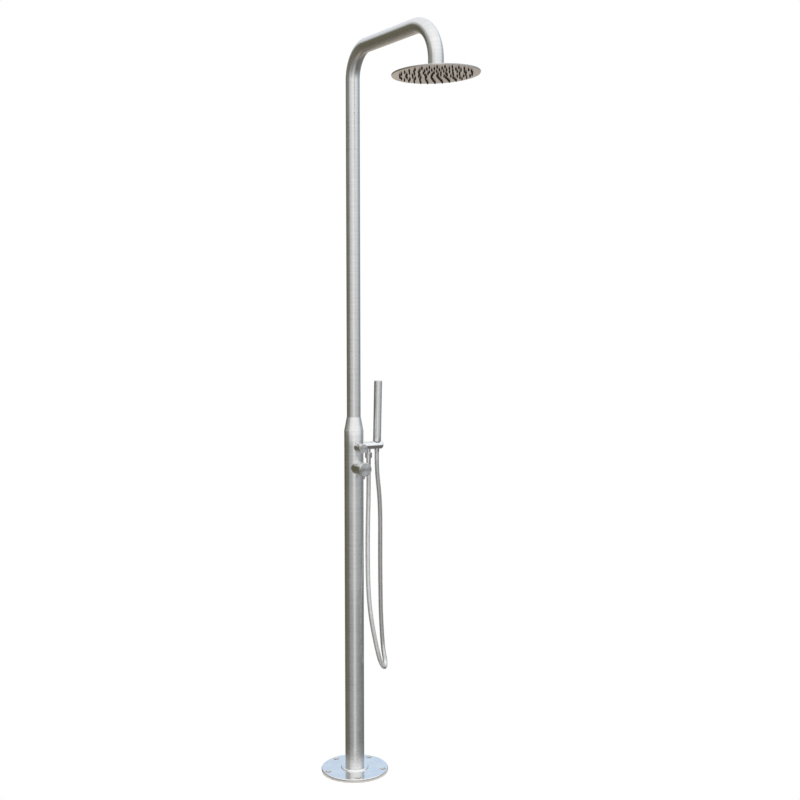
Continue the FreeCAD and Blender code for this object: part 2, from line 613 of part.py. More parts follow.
def holder_bar():
    """Side bar that feeds the hose and carries the handset in a tapered hole."""
    edge = "bar_diameter / 2"
    bar = turned("bar_blank", [
        ("0", "spigot_start"), ("spigot_diameter / 2", "spigot_start"),
        ("spigot_diameter / 2", "column_bore_radius"), (edge, "column_bore_radius"),
        (edge, "bar_reach"), ("0", "bar_reach")], z="diverter_height", turn=SIDEWAYS)
    round_edge(bar, "bar_end_round", "bar_diameter / 2", "bar_reach")
    collar = cut("bar_foot", cylinder("bar_foot_skin", "column_diameter", "4 * bar_diameter",
                                      z="diverter_height - 2 * bar_diameter"),
                 [cylinder("bar_foot_core", "spigot_diameter", "bar_reach",
                           z="diverter_height", turn=SIDEWAYS)])
    fit = "2 * cradle_gap"
    taper = "(cone_top_diameter - cone_tip_diameter) / (cone_shoulder + cone_tip_drop)"
    middle = "cone_tip_diameter + %s + %s * cone_tip_drop" % (fit, taper)
    swing = "%s * bar_diameter" % taper
    cradle = cone("cradle_hole", "%s - %s" % (middle, swing), "%s + %s" % (middle, swing),
                  "2 * bar_diameter")
    flat = cylinder("cradle_flat_tool", "handset_diameter + 4 * cradle_gap", "bar_diameter")
    tools = [
        collar,
        cylinder("bar_bore", "bar_waterway", "outlet_place + bar_waterway / 2",
                 z="diverter_height", turn=SIDEWAYS),
        cylinder("outlet_hole", "neck_outer_diameter + 2 * running_gap",
                 edge + " - bar_waterway / 2 + plug_gap", y="outlet_place", z="bar_underside"),
        leaning(cradle, "-bar_diameter"), leaning(flat, "cradle_flat")]
    node("holder_bar", cut("bar", bar, tools))


def round_edge(body, amount, radius, height):
    """Round a turned body's circular edge, found by its radius and height."""
    doc.recompute()
    turned_feature = body.Tip
    wanted = (size(radius), size(height))
    for index, edge in enumerate(turned_feature.Shape.Edges):
        curve = edge.Curve
        if not isinstance(curve, Part.Circle):
            continue
        if abs(curve.Radius - wanted[0]) < 1e-6 and abs(curve.Center.z - wanted[1]) < 1e-6:
            rounding = body.newObject("PartDesign::Fillet", body.Name + "_round")
            rounding.Base = (turned_feature, ["Edge%d" % (index + 1)])
            bind(rounding, Radius=amount)
            return
    raise ValueError("no edge of that radius and height on " + body.Name)


def hose_outlet():
    """Outlet nipple, washer, union nut and ferrule under the side bar."""
    spot = {"y": "outlet_place"}
    bore, thread = "outlet_bore / 2", "outlet_thread_diameter / 2"
    neck = "neck_outer_diameter / 2"
    top = "bar_underside + bar_diameter / 2 - bar_waterway / 2"
    node("outlet_nipple", turned("nipple_turning", [
        (bore, "outlet_thread_base"), (thread, "outlet_thread_base"),
        (thread, "outlet_thread_top"), (neck, "outlet_thread_top"), (neck, top),
        (bore, top)], **spot))
    node("hose_outlet_washer", ring("outlet_seal", "outlet_thread_diameter", "outlet_bore",
                                    "flange_top", "outlet_thread_base", **spot))
    sleeve = "ferrule_diameter / 2"
    node("hose_outlet_ferrule", turned("outlet_tail", [
        (bore, "ferrule_base"), (sleeve, "ferrule_base"),
        (sleeve, "nut_shoulder + seat_gap"), (thread + " - plug_gap", "nut_shoulder + seat_gap"),
        (thread + " - plug_gap", "flange_top"), (bore, "flange_top")], **spot))
    outside = "nut_diameter / 2"
    node("hose_outlet_nut", turned("outlet_union", [
        (sleeve + " + plug_gap", "nut_base"), (outside + " - nut_bevel", "nut_base"),
        (outside, "nut_base + nut_bevel"), (outside, "outlet_thread_top - nut_bevel"),
        (outside + " - nut_bevel", "outlet_thread_top"),
        (thread + " + running_gap", "outlet_thread_top"),
        (thread + " + running_gap", "nut_shoulder"),
        (sleeve + " + plug_gap", "nut_shoulder")], **spot))


def handset():
    """Cone nut, ferrule, washer, inlet, tube, spray plate and end cap."""
    tip, wide = "-cone_tip_drop", "handset_diameter / 2"
    thread = "union_thread_diameter / 2"
    bore = "cone_bore / 2"
    node("hose_cone_nut", leaning(turned("cone_nut", [
        (bore, tip), ("cone_tip_diameter / 2", tip), ("cone_top_diameter / 2", "cone_shoulder"),
        (wide, "cone_shoulder"), (wide, "handset_base"),
        (thread + " + running_gap", "handset_base"),
        (thread + " + running_gap", "union_floor"), (bore, "union_floor")])))
    waterway = "outlet_bore / 2"
    flange = "union_floor + seat_gap + flange_thickness"
    node("hose_cone_ferrule", leaning(turned("cone_tail", [
        (waterway, tip), (bore + " - running_gap", tip),
        (bore + " - running_gap", "union_floor + seat_gap"),
        (thread + " - plug_gap", "union_floor + seat_gap"), (thread + " - plug_gap", flange),
        (waterway, flange)])))
    seal = flange + " + washer_thickness"
    node("handset_washer", leaning(ring("handset_seal", "union_thread_diameter - 2 * plug_gap",
                                        "outlet_bore", flange, seal)))
    fit = "handset_bore_radius - plug_gap"
    node("handset_inlet", leaning(turned("inlet_turning", [
        (waterway, seal), (thread, seal), (thread, "handset_base"), (fit, "handset_base"),
        (fit, "handset_base + inlet_plug_length"),
        (waterway, "handset_base + inlet_plug_length")])))

    tube = ring("handset_blank", "handset_diameter", "2 * handset_bore_radius",
                "handset_base", "handset_top")
    window_base = "handset_top - window_top_margin - window_length"
    slot = window("window_slot", "0", window_base)
    node("handset_tube", leaning(cut("handset_shell", tube, [slot])))
    wall = ring("spray_blank", "handset_diameter", "2 * handset_bore_radius",
                "handset_base", "handset_top")
    curved = doc.addObject("Part::Common", "spray_curve")
    curved.Base = wall
    curved.Tool = window("spray_edge", "plug_gap", window_base)
    tips = []
    for row in range(int(DRIVING["spray_rows"])):
        for column in range(int(DRIVING["spray_columns"])):
            across = "(%d - (spray_rows - 1) / 2) * spray_row_spacing" % row
            up = "(%d - (spray_columns - 1) / 2) * spray_spacing" % column
            tips.append(cylinder("spray_tip", "spray_tip_diameter",
                                 wide + " + spray_tip_height - handset_bore_radius",
                                 x="-%s - spray_tip_height" % wide, y=across,
                                 z=window_base + " + window_length / 2 + " + up, turn=FORWARD))
    node("handset_spray_plate", leaning(fuse("spray_plate", [curved] + tips)))
    node("handset_end_cap", leaning(turned("cap_turning", [
        ("0", "handset_top - end_cap_length"), (fit, "handset_top - end_cap_length"),
        (fit, "handset_top"), (wide, "handset_top"),
        (wide + " - end_cap_dome", "handset_top + end_cap_dome"),
        ("0", "handset_top + end_cap_dome")])))


def window(name, gap, base):
    """Block through the handset's rear wall, smaller all round by a gap."""
    block = doc.addObject("Part::Box", name)
    bind(block, Length="3 / 4 * handset_diameter", Width="window_width - 2 * %s" % gap,
         Height="window_length - 2 * %s" % gap)
    return place(block, x="-handset_diameter", y="%s - window_width / 2" % gap,
                 z="%s + %s" % (base, gap))


def hose_route():
    """Corner points of the hose, straight out of each end."""
    start = Vector(0, size("outlet_place"), size("ferrule_base"))
    lean = math.radians(size("cradle_lean"))
    axis = Vector(0, math.sin(lean), math.cos(lean))
    seat = Vector(0, size("cradle_place"), size("diverter_height"))
    end = seat - axis * size("cone_tip_drop")
    middle = [Vector(*point) for point in HOSE_MIDDLE]
    return [start, start - Vector(0, 0, HOSE_FIRST_RUN)] + middle + [
        end - axis * HOSE_LAST_RUN, end]


def rounded_route(points):
    """Straight runs joined by tangent arcs, each as large as its runs allow."""
    edges, radii = [], []
    at = points[0]
    for before, corner, after in zip(points, points[1:], points[2:]):
        back, ahead = before - corner, after - corner
        turn = math.pi - back.getAngle(ahead)
        trim = ARC_SHARE * min(back.Length, ahead.Length)
        radii.append(trim / math.tan(turn / 2))
        start = corner + back.normalize() * trim
        end = corner + ahead.normalize() * trim
        centre = corner + (back + ahead).normalize() * (radii[-1] / math.cos(turn / 2))
        middle = centre + (corner - centre).normalize() * radii[-1]
        edges.append(Part.LineSegment(at, start).toShape())
        edges.append(Part.Arc(start, middle, end).toShape())
        at = end
    edges.append(Part.LineSegment(at, points[-1]).toShape())
    print("hose radii", " ".join("%.0f" % radius for radius in radii))
    return edges


def stations(edges, distances):
    """Point and direction on the route at each distance along it."""
    found, walked, index = [], 0.0, 0
    for distance in distances:
        while index < len(edges) - 1 and distance > walked + edges[index].Length:
            walked += edges[index].Length
            index += 1
        edge = edges[index]
        share = min(max((distance - walked) / edge.Length, 0.0), 1.0)
        spot = edge.FirstParameter + share * (edge.LastParameter - edge.FirstParameter)
        found.append((edge.valueAt(spot), edge.tangentAt(spot)))
    return found


def hoop(spot, radius):
    """Circle square to the route, with its seam kept to one side."""
    centre, along = spot
    side = Vector(0.5, math.sqrt(0.75), 0)
    side = (side - along * side.dot(along)).normalize()
    circle = Part.makeCircle(radius)
    circle.Placement = Placement(centre, Rotation(side, along.cross(side), along, "ZXY"))
    return Part.Wire([circle])


def shower_hose():
    """Ribbed metal hose: ribs lofted between hoops, and a bore through it."""
    edges = rounded_route(hose_route())
    length = sum(edge.Length for edge in edges)
    outer, end = size("hose_diameter / 2"), size("hose_end_length")
    groove, bore = outer - size("hose_groove"), size("hose_bore / 2")
    count = int(size("hose_rib_count"))
    pitch = (length - 2 * end) / count
    places, sizes = [0.0], [outer]
    for index in range(count):
        places += [end + (index + share) * pitch for share in RIB_SHARES]
        sizes += [groove, outer, outer, groove]
    places += [length - end, length]
    sizes += [groove, outer]
    hoops = [hoop(spot, radius) for spot, radius in zip(stations(edges, places), sizes)]
    skin = Part.makeLoft(hoops, False, True)
    joints, walked = [0.0], 0.0
    for edge in edges:
        steps = 1 if isinstance(edge.Curve, Part.Line) else 2
        joints += [walked + edge.Length * (step + 1) / steps for step in range(steps)]
        walked += edge.Length
    rings = [hoop(spot, bore) for spot in stations(edges, joints)]
    lining = Part.makeLoft(rings, False, True)
    ends = [Part.Face([hoops[0], rings[0]]), Part.Face([hoops[-1], rings[-1]])]
    shell = Part.makeShell(skin.Faces + lining.Faces + ends)
    shell.sewShape()
    shell.fix(1e-5, 1e-5, 1e-5)
    solid = Part.Solid(shell)
    solid.fix(1e-5, 1e-5, 1e-5)
    hose = doc.addObject("Part::Feature", "hose")
    hose.Shape = solid
    section = math.pi * (outer ** 2 - bore ** 2)
    print("hose length %.1f, volume %.0f of %.0f" % (length, solid.Volume, section * length))
    node("shower_hose", hose)


def check_and_write():
    """Recompute, look for failed objects and write each piece to its file."""
    doc.recompute()
    failed = [thing.Label for thing in doc.Objects
              if "Invalid" in thing.State or "Error" in thing.State]
    broken = [piece.Label for piece in nodes
              if piece.Shape.isNull() or not piece.Shape.isValid() or not piece.Shape.Solids]
    if failed or broken:
        raise RuntimeError("failed: %s, broken: %s" % (failed, broken))
    os.makedirs("parts", exist_ok=True)
    for piece in nodes:
        piece.Shape.exportStep("parts/%s.step" % piece.Label)
    print(len(nodes), "pieces written")


fill_sheet()
base_plate()
column_parts()
riser_arm_tube()
ball_joint()
rain_head()
mixer()
diverter()
pipes()
holder_bar()
hose_outlet()
handset()
shower_hose()
check_and_write()
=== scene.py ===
import json
import logging
import math
from dataclasses import dataclass, field
from enum import Enum
from typing import Any, Sequence

import bmesh
import bpy
import numpy as np
from mathutils import Matrix, Vector


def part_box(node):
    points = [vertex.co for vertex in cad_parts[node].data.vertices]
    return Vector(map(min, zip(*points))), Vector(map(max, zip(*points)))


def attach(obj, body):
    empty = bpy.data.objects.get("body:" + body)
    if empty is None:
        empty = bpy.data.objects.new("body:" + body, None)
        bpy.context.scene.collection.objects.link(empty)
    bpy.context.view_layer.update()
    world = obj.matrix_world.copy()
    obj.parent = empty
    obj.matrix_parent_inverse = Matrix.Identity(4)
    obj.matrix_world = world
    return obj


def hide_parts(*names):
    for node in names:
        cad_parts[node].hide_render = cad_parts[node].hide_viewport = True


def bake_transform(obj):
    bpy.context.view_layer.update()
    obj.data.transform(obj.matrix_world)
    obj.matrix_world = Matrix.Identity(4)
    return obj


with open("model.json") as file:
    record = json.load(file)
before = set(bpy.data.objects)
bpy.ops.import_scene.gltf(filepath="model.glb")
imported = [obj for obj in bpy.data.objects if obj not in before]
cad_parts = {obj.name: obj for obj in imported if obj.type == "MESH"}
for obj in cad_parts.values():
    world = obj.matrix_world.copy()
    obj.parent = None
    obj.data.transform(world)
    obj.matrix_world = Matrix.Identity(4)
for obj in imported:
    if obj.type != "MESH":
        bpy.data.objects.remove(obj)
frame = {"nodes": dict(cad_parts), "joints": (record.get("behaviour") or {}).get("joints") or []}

# Looks of a free-standing stainless outdoor shower post, in metres, in the frame
# of its CAD model: +Z up the column, +X along the arm, +Y along the handset bar.

Array = np.ndarray
Colour = tuple[float, float, float]
Spot = tuple[float, float, float]

LOG = logging.getLogger("shower_post")
WRAP = "wrap"  # UV map: u round a piece and v along it, both in metres
MILLIMETRE = 0.001
WELD = 1e-6
SMOOTH_BELOW = math.radians(32)


class Slot(Enum):
    """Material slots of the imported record."""

    SATIN = "satin_steel"
    BRIGHT = "bright_steel"
    NOZZLE = "nozzle_rubber"
    SEAL = "seal_rubber"
    BRASS = "valve_brass"
    COPPER = "copper_pipe"
    CARTRIDGE = "cartridge_plastic"
    SEAT = "seat_plastic"
    HOSE = "hose_metal"


class Control(Enum):
    """The two valves on the column, by the start of their nodes' names."""

    MIXER = "mixer"
    DIVERTER = "diverter"


# ---------------------------------------------------------------- node wiring


class Wiring:
    """Adds shader nodes to one tree and joins them as they are added."""

    def __init__(self, tree: bpy.types.NodeTree) -> None:
        """Empty the tree.

        Args:
            tree: node tree of a material or of the world.
        """
        self.tree = tree
        tree.nodes.clear()

    def add(self, kind: str, inputs: dict[Any, Any] | None = None, **settings: Any) -> Any:
        """Add one node.

        Args:
            kind: Blender's node type, without the ShaderNode in front.
            inputs: socket name or number to a number, a colour or another node's output.
            settings: properties of the node, such as operation.

        Returns:
            The new node.
        """
        node = self.tree.nodes.new("ShaderNode" + kind)
        for name, value in settings.items():
            setattr(node, name, value)
        for socket, value in (inputs or {}).items():
            if isinstance(value, bpy.types.NodeSocket):
                self.tree.links.new(value, node.inputs[socket])
            else:
                node.inputs[socket].default_value = value
        return node

    def noise(self, place: Any, scale: float, detail: float, roughness: float = 0.5) -> Any:
        """Output of a noise in space.

        Args:
            place: output of the place.
            scale: larger for a finer pattern.
            detail: layers of the noise.
            roughness: strength of each layer beside the one before.

        Returns:
            The noise's output.
        """
        return self.add("TexNoise", {"Vector": place, "Scale": scale, "Detail": detail,
                                     "Roughness": roughness}).outputs[0]

    def math(self, operation: str, first: Any, second: Any = 0.0, clamp: bool = False) -> Any:
        """Output of one Math node.

        Args:
            operation: Blender's name for the operation.
            first: number or output.
            second: number or output.
            clamp: keep the result between 0 and 1.

        Returns:
            The node's output.
        """
        node = self.add("Math", {0: first, 1: second}, operation=operation, use_clamp=clamp)
        return node.outputs[0]

    def span(self, value: Any, low: float, high: float, to_low: float, to_high: float) -> Any:
        """Map a value smoothly from one range to another.

        Args:
            value: number or output.
            low: start of the first range.
            high: end of the first range.
            to_low: result at low and below.
            to_high: result at high and above.

        Returns:
            The mapped output.
        """
        node = self.add("MapRange", {0: value, 1: low, 2: high, 3: to_low, 4: to_high},
                        interpolation_type="SMOOTHSTEP")
        return node.outputs[0]

    def mix(self, share: Any, first: Any, second: Any) -> Any:
        """Blend two colours.

        Args:
            share: 0 for the first colour, 1 for the second.
            first: colour or output.
            second: colour or output.

        Returns:
            The blended colour's output.
        """
        node = self.add("Mix", data_type="RGBA")
        for socket, value in ((0, share), (6, first), (7, second)):
            if isinstance(value, bpy.types.NodeSocket):
                self.tree.links.new(value, node.inputs[socket])
            elif socket == 0:
                node.inputs[socket].default_value = value
            else:
                node.inputs[socket].default_value = (*value, 1.0)
        return node.outputs[2]

    def ramp(self, value: Any, stops: Sequence[tuple[float, Colour]]) -> Any:
        """Colour that changes with a value.

        Args:
            value: output between 0 and 1.
            stops: place and colour of each stop, in order.

        Returns:
            The ramp's colour output.
        """
        node = self.add("ValToRGB", {0: value})
        elements = node.color_ramp.elements
        while len(elements) < len(stops):
            elements.new(0.5)
        for element, (place, colour) in zip(elements, stops):
            element.position = place
            element.color = (*colour, 1.0)
        return node.outputs[0]


# ------------------------------------------------------------------- finishes


@dataclass(frozen=True)
class Finish:
    """A named finish. Each kind adds its own nodes to the same shader."""

    name: str
    slot: Slot
    colour: Colour

    def material(self) -> bpy.types.Material:
        """The Blender material, made once."""
        made = bpy.data.materials.get(self.name)
        if made is None:
            made = bpy.data.materials.new(self.name)
            made.use_nodes = True
            wiring = Wiring(made.node_tree)
            shader = self.shader(wiring)
            wiring.add("OutputMaterial", {0: shader.outputs[0]})
        return made

    def shader(self, wiring: Wiring) -> Any:
        """The finish's shader node.

        Args:
            wiring: node tree to add it to.

        Returns:
            A Principled BSDF node.
        """
        raise NotImplementedError


@dataclass(frozen=True)
class RingBrushedSteel(Finish):
    """Stainless steel polished with a belt while it turned: fine rings round the piece.

    The rings stretch every reflection along the piece and leave it sharp across.
    """

    roughness: float = 0.27
    stretch: float = 0.85
    ring_pitch: float = 0.009
    cloudiness: float = 0.02

    def shader(self, wiring: Wiring) -> Any:
        """Rings from one-dimensional noise along v, smudges from soft noise in space."""
        uv = wiring.add("UVMap", uv_map=WRAP)
        split = wiring.add("SeparateXYZ", {0: uv.outputs[0]})
        along = wiring.math("DIVIDE", split.outputs[1], self.ring_pitch)
        rings = wiring.add("TexNoise", {"W": along, "Scale": 1.0, "Detail": 4.0, "Roughness": 0.6},
                           noise_dimensions="1D").outputs[0]
        place = wiring.add("TexCoord").outputs["Object"]
        smudge = wiring.noise(place, scale=14.0, detail=3.0, roughness=0.55)
        dark = tuple(c * 0.93 for c in self.colour)
        shade = wiring.math("ADD", wiring.math("MULTIPLY", rings, 0.65),
                            wiring.math("MULTIPLY", smudge, 0.35))
        colour = wiring.mix(wiring.span(shade, 0.36, 0.62, 0.0, 1.0), dark, self.colour)
        rough = wiring.span(smudge, 0.3, 0.7, self.roughness - self.cloudiness,
                            self.roughness + self.cloudiness)
        tangent = wiring.add("Tangent", direction_type="UV_MAP", uv_map=WRAP)
        return wiring.add("BsdfPrincipled", {
            "Base Color": colour, "Metallic": 1.0, "Roughness": rough,
            "Anisotropic": self.stretch, "Anisotropic Rotation": 0.25,
            "Tangent": tangent.outputs[0]})


@dataclass(frozen=True)
class PolishedSteel(Finish):
    """Bright polished stainless steel with faint hairlines, smudges and slow ripples."""

    roughness: float = 0.1
    ripple: float = 0.00004
    turned: float = 0.0
    axis: str = "X"

    def shader(self, wiring: Wiring) -> Any:
        """Roughness from two noises, a slow ripple as bump, and rings about the axis if any."""
        place = wiring.add("TexCoord").outputs["Object"]
        smudge = wiring.noise(place, scale=45.0, detail=4.0, roughness=0.6)
        specks = wiring.noise(place, scale=900.0, detail=2.0)
        slow = wiring.noise(place, scale=60.0, detail=1.0)
        colour = wiring.mix(wiring.span(smudge, 0.35, 0.65, 0.0, 1.0),
                            tuple(c * 0.93 for c in self.colour), self.colour)
        wear = wiring.math("ADD", wiring.math("MULTIPLY", smudge, 0.7),
                           wiring.math("MULTIPLY", specks, 0.3))
        rough = wiring.span(wear, 0.35, 0.65, self.roughness * 0.75, self.roughness * 1.45)
        bump = wiring.add("Bump", {"Strength": 0.35, "Distance": self.ripple, "Height": slow})
        shader = wiring.add("BsdfPrincipled", {
            "Base Color": colour, "Metallic": 1.0, "Roughness": rough, "Normal": bump.outputs[0],
            "Anisotropic": self.turned, "Anisotropic Rotation": 0.25})
        if self.turned:
            rings = wiring.add("Tangent", direction_type="RADIAL", axis=self.axis)
            wiring.tree.links.new(rings.outputs[0], shader.inputs["Tangent"])
        return shader


@dataclass(frozen=True)
class RibbedHoseSteel(Finish):
    """Wound metal hose: bright crests, and grooves darkened by a little grime and by painted
    shade.
    """

    rib_pitch: float = 0.0034
    roughness: float = 0.2
    groove_grime_and_shade: Colour = (0.30, 0.29, 0.28)
    groove_roughness: float = 0.5

    def shader(self, wiring: Wiring) -> Any:
        """Crest and groove follow the fraction of v over the rib pitch."""
        uv = wiring.add("UVMap", uv_map=WRAP)
        split = wiring.add("SeparateXYZ", {0: uv.outputs[0]})
        turn = wiring.math("FRACT", wiring.math("DIVIDE", split.outputs[1], self.rib_pitch))
        groove = wiring.span(turn, 0.72, 0.86, 0.0, 1.0)
        place = wiring.add("TexCoord").outputs["Object"]
        smudge = wiring.noise(place, scale=80.0, detail=3.0)
        bright = wiring.mix(smudge, tuple(c * 0.88 for c in self.colour), self.colour)
        # painted shade: each groove's colour runs to a darker grey, partly for grime and partly
        # for the shade that falls into it
        colour = wiring.mix(groove, bright, self.groove_grime_and_shade)
        rough = wiring.span(groove, 0.0, 1.0, self.roughness, self.groove_roughness)
        return wiring.add("BsdfPrincipled", {
            "Base Color": colour, "Metallic": 1.0, "Roughness": rough})


@dataclass(frozen=True)
class SoftMoulding(Finish):
    """Moulded rubber or plastic with a fine matt skin and slight unevenness."""

    roughness: float = 0.5
    grain: float = 2600.0
    grain_depth: float = 0.00001

    def shader(self, wiring: Wiring) -> Any:
        """A fine noise as bump and a slow one in colour and roughness."""
        place = wiring.add("TexCoord").outputs["Object"]
        fine = wiring.noise(place, scale=self.grain, detail=2.0)
        slow = wiring.noise(place, scale=120.0, detail=2.0)
        colour = wiring.mix(slow, tuple(c * 0.8 for c in self.colour),
                            tuple(min(1.0, c * 1.15) for c in self.colour))
        rough = wiring.span(slow, 0.3, 0.7, self.roughness - 0.06, self.roughness + 0.06)
        bump = wiring.add("Bump", {"Strength": 0.4, "Distance": self.grain_depth, "Height": fine})
        return wiring.add("BsdfPrincipled", {
            "Base Color": colour, "Roughness": rough, "Normal": bump.outputs[0]})


@dataclass(frozen=True)
class CastMetal(Finish):
    """Brass or copper inside the column: mottled colour, dull spots and a cast grain."""

    roughness: float = 0.35
    dull: Colour = (0.3, 0.18, 0.08)

    def shader(self, wiring: Wiring) -> Any:
        """Dull spots where a slow noise is high, grain from a fine one."""
        place = wiring.add("TexCoord").outputs["Object"]
        slow = wiring.noise(place, scale=55.0, detail=5.0, roughness=0.65)
        fine = wiring.noise(place, scale=700.0, detail=3.0)
        colour = wiring.mix(wiring.span(slow, 0.52, 0.75, 0.0, 0.6), self.colour, self.dull)
        rough = wiring.span(slow, 0.3, 0.75, self.roughness - 0.1, self.roughness + 0.2)
        bump = wiring.add("Bump", {"Strength": 0.3, "Distance": 0.00005, "Height": fine})
        return wiring.add("BsdfPrincipled", {
            "Base Color": colour, "Metallic": 1.0, "Roughness": rough, "Normal": bump.outputs[0]})


STEEL: Colour = (0.76, 0.76, 0.755)
BRUSHED_TUBE = RingBrushedSteel("brushed_tube_steel", Slot.SATIN, STEEL)
BRUSHED_HEAD = RingBrushedSteel("brushed_head_steel", Slot.SATIN, (0.76, 0.74, 0.72),
                                roughness=0.33, stretch=0.3, ring_pitch=0.004)
BRUSHED_HANDSET = RingBrushedSteel("brushed_handset_steel", Slot.SATIN, STEEL,
                                   roughness=0.30, stretch=0.7, ring_pitch=0.004)
POLISHED = PolishedSteel("polished_steel", Slot.BRIGHT, (0.80, 0.80, 0.80))
POLISHED_PLATE = PolishedSteel("polished_plate_steel", Slot.BRIGHT, (0.87, 0.875, 0.88),
                               roughness=0.13)
# Rim and hole walls of the plate: its steel made darker and warmer, partly for a duller cut finish
# and partly as painted shade standing in for darker surroundings in its reflection.
SHADED_CUT_EDGE = CastMetal("cut_plate_edge", Slot.BRIGHT, (0.60, 0.58, 0.55), roughness=0.32,
                     dull=(0.42, 0.38, 0.33))
TURNED_KNOB = PolishedSteel("turned_knob_steel", Slot.BRIGHT, (0.82, 0.82, 0.81),
                            roughness=0.17, turned=0.8)
HOSE_STEEL = RibbedHoseSteel("ribbed_hose_steel", Slot.HOSE, (0.86, 0.86, 0.85))
NOZZLE_RUBBER = SoftMoulding("nozzle_silicone", Slot.NOZZLE, (0.016, 0.013, 0.012),
                             roughness=0.48)
SEAL_RUBBER = SoftMoulding("seal_rubber", Slot.SEAL, (0.03, 0.03, 0.03), roughness=0.6)
CARTRIDGE = SoftMoulding("cartridge_moulding", Slot.CARTRIDGE, (0.78, 0.77, 0.72))
SEAT = SoftMoulding("ball_seat_moulding", Slot.SEAT, (0.84, 0.84, 0.81), roughness=0.4)
BRASS = CastMetal("cast_brass", Slot.BRASS, (0.72, 0.53, 0.24))
COPPER = CastMetal("drawn_copper", Slot.COPPER, (0.78, 0.42, 0.28), roughness=0.28,
                   dull=(0.22, 0.1, 0.06))


# ------------------------------------------------------------ surfaces on grids


@dataclass(frozen=True)
class Seat:
    """Where a turned piece stands: its origin, and the turn of its own Z axis."""

    origin: Spot
    turn: Matrix = field(default_factory=lambda: Matrix.Identity(3))

    def place(self, points: Array) -> Array:
        """Points of the piece's own frame in the object's frame: turn, then origin.

        Args:
            points: array of points, last axis of length 3.

        Returns:
            Array of the same shape.
        """
        return points @ np.array(self.turn).T + np.array(self.origin)

    def own(self, points: Array) -> Array:
        """Points of the object's frame in the piece's own frame: the way back.

        Args:
            points: array of points, last axis of length 3.

        Returns:
            Array of the same shape.
        """
        return (points - np.array(self.origin)) @ np.array(self.turn)


UPRIGHT = Seat((0.0, 0.0, 0.0))
FORWARD = Matrix.Rotation(math.radians(90), 3, "Y")
SIDEWAYS = Matrix.Rotation(math.radians(-90), 3, "X")


@dataclass
class Skin:
    """A surface on a grid whose rows run along a piece and whose columns go round it."""

    points: Array
    around: Array
    along: Array
    ring: bool = False
    finish: Finish | None = None

    def faces(self, first: int) -> tuple[Array, Array]:
        """Quads between neighbouring rows and columns, with their UV corners.

        Args:
            first: number of the grid's first vertex in the mesh.

        Returns:
            Vertex numbers (n, 4) and UV places (n, 4, 2).
        """
        rows, columns = self.points.shape[:2]
        steps = rows if self.ring else rows - 1
        row, column = np.meshgrid(np.arange(steps), np.arange(columns), indexing="ij")
        below, right = (row + 1) % rows, (column + 1) % columns
        quads = first + np.stack([row * columns + column, row * columns + right,
                                  below * columns + right, below * columns + column], axis=-1)
        left_u, right_u = self.around[column], self.around[column + 1]
        top_v, low_v = self.along[row], self.along[row + 1]
        uv = np.stack([np.stack([left_u, top_v], -1), np.stack([right_u, top_v], -1),
                       np.stack([right_u, low_v], -1), np.stack([left_u, low_v], -1)], axis=-2)
        return quads.reshape(-1, 4), uv.reshape(-1, 4, 2)


def softened(corners: Sequence[tuple[float, float, float]], closed: bool, steps: int = 4) -> Array:
    """Round the corners of an outline.

    A corner C with trim t to both sides becomes the curve
    C + (1 - s)^2 t a + s^2 t b for s from 0 to 1, where a and b are the directions to
    its neighbours, with one guard point on each side that keeps the flats flat.

    Args:
        corners: radius, height and trim of each corner.
        closed: whether the last corner runs back to the first.
        steps: parts of each curve.

    Returns:
        Array of (radius, height) points.
    """
    spots = np.array(corners, float)[:, :2]
    count = len(corners)
    found: list[Array] = []
    for index, (_, _, trim) in enumerate(corners):
        end = not closed and index in (0, count - 1)
        if trim <= 0 or end:
            found.append(spots[index][None])
            continue
        back = spots[index - 1] - spots[index]
        ahead = spots[(index + 1) % count] - spots[index]
        reach = min(np.linalg.norm(back), np.linalg.norm(ahead))
        trim = min(trim, 0.3 * reach)
        back, ahead = back / np.linalg.norm(back), ahead / np.linalg.norm(ahead)
        share = np.linspace(0, 1, steps + 1)[:, None]
        curve = spots[index] + (1 - share) ** 2 * trim * back + share ** 2 * trim * ahead
        guards = [spots[index] + 1.5 * trim * back, spots[index] + 1.5 * trim * ahead]
        found.append(np.vstack([guards[0], curve, guards[1]]))
    return np.vstack(found)


def turned_skin(outline: Array, seat: Seat, columns: int, closed: bool = False,
                start: float = 0.0, finish: Finish | None = None) -> Skin:
    """Turn an outline about its seat's axis.

    The point at row i and column j is (r_i cos a_j, r_i sin a_j, h_i), with the angles
    a_j evenly spread from start.

    Args:
        outline: (radius, height) points.
        seat: where the piece stands.
        columns: points round the axis.
        closed: whether the outline is a ring's section.
        start: first angle.
        finish: finish of this surface, where it isn't the piece's own.

    Returns:
        The turned surface.
    """
    angles = start + 2 * math.pi * np.arange(columns) / columns
    radius, height = outline[:, 0][:, None], outline[:, 1][:, None]
    own = np.stack([radius * np.cos(angles), radius * np.sin(angles),
                    height + 0 * angles], axis=-1)
    edges = np.vstack([outline, outline[:1]]) if closed else outline
    steps = np.linalg.norm(np.diff(edges, axis=0), axis=1)
    along = np.concatenate([[0.0], np.cumsum(steps)])
    around = np.linspace(0, 2 * math.pi * outline[:, 0].max(), columns + 1)
    return Skin(seat.place(own), around, along, closed, finish)


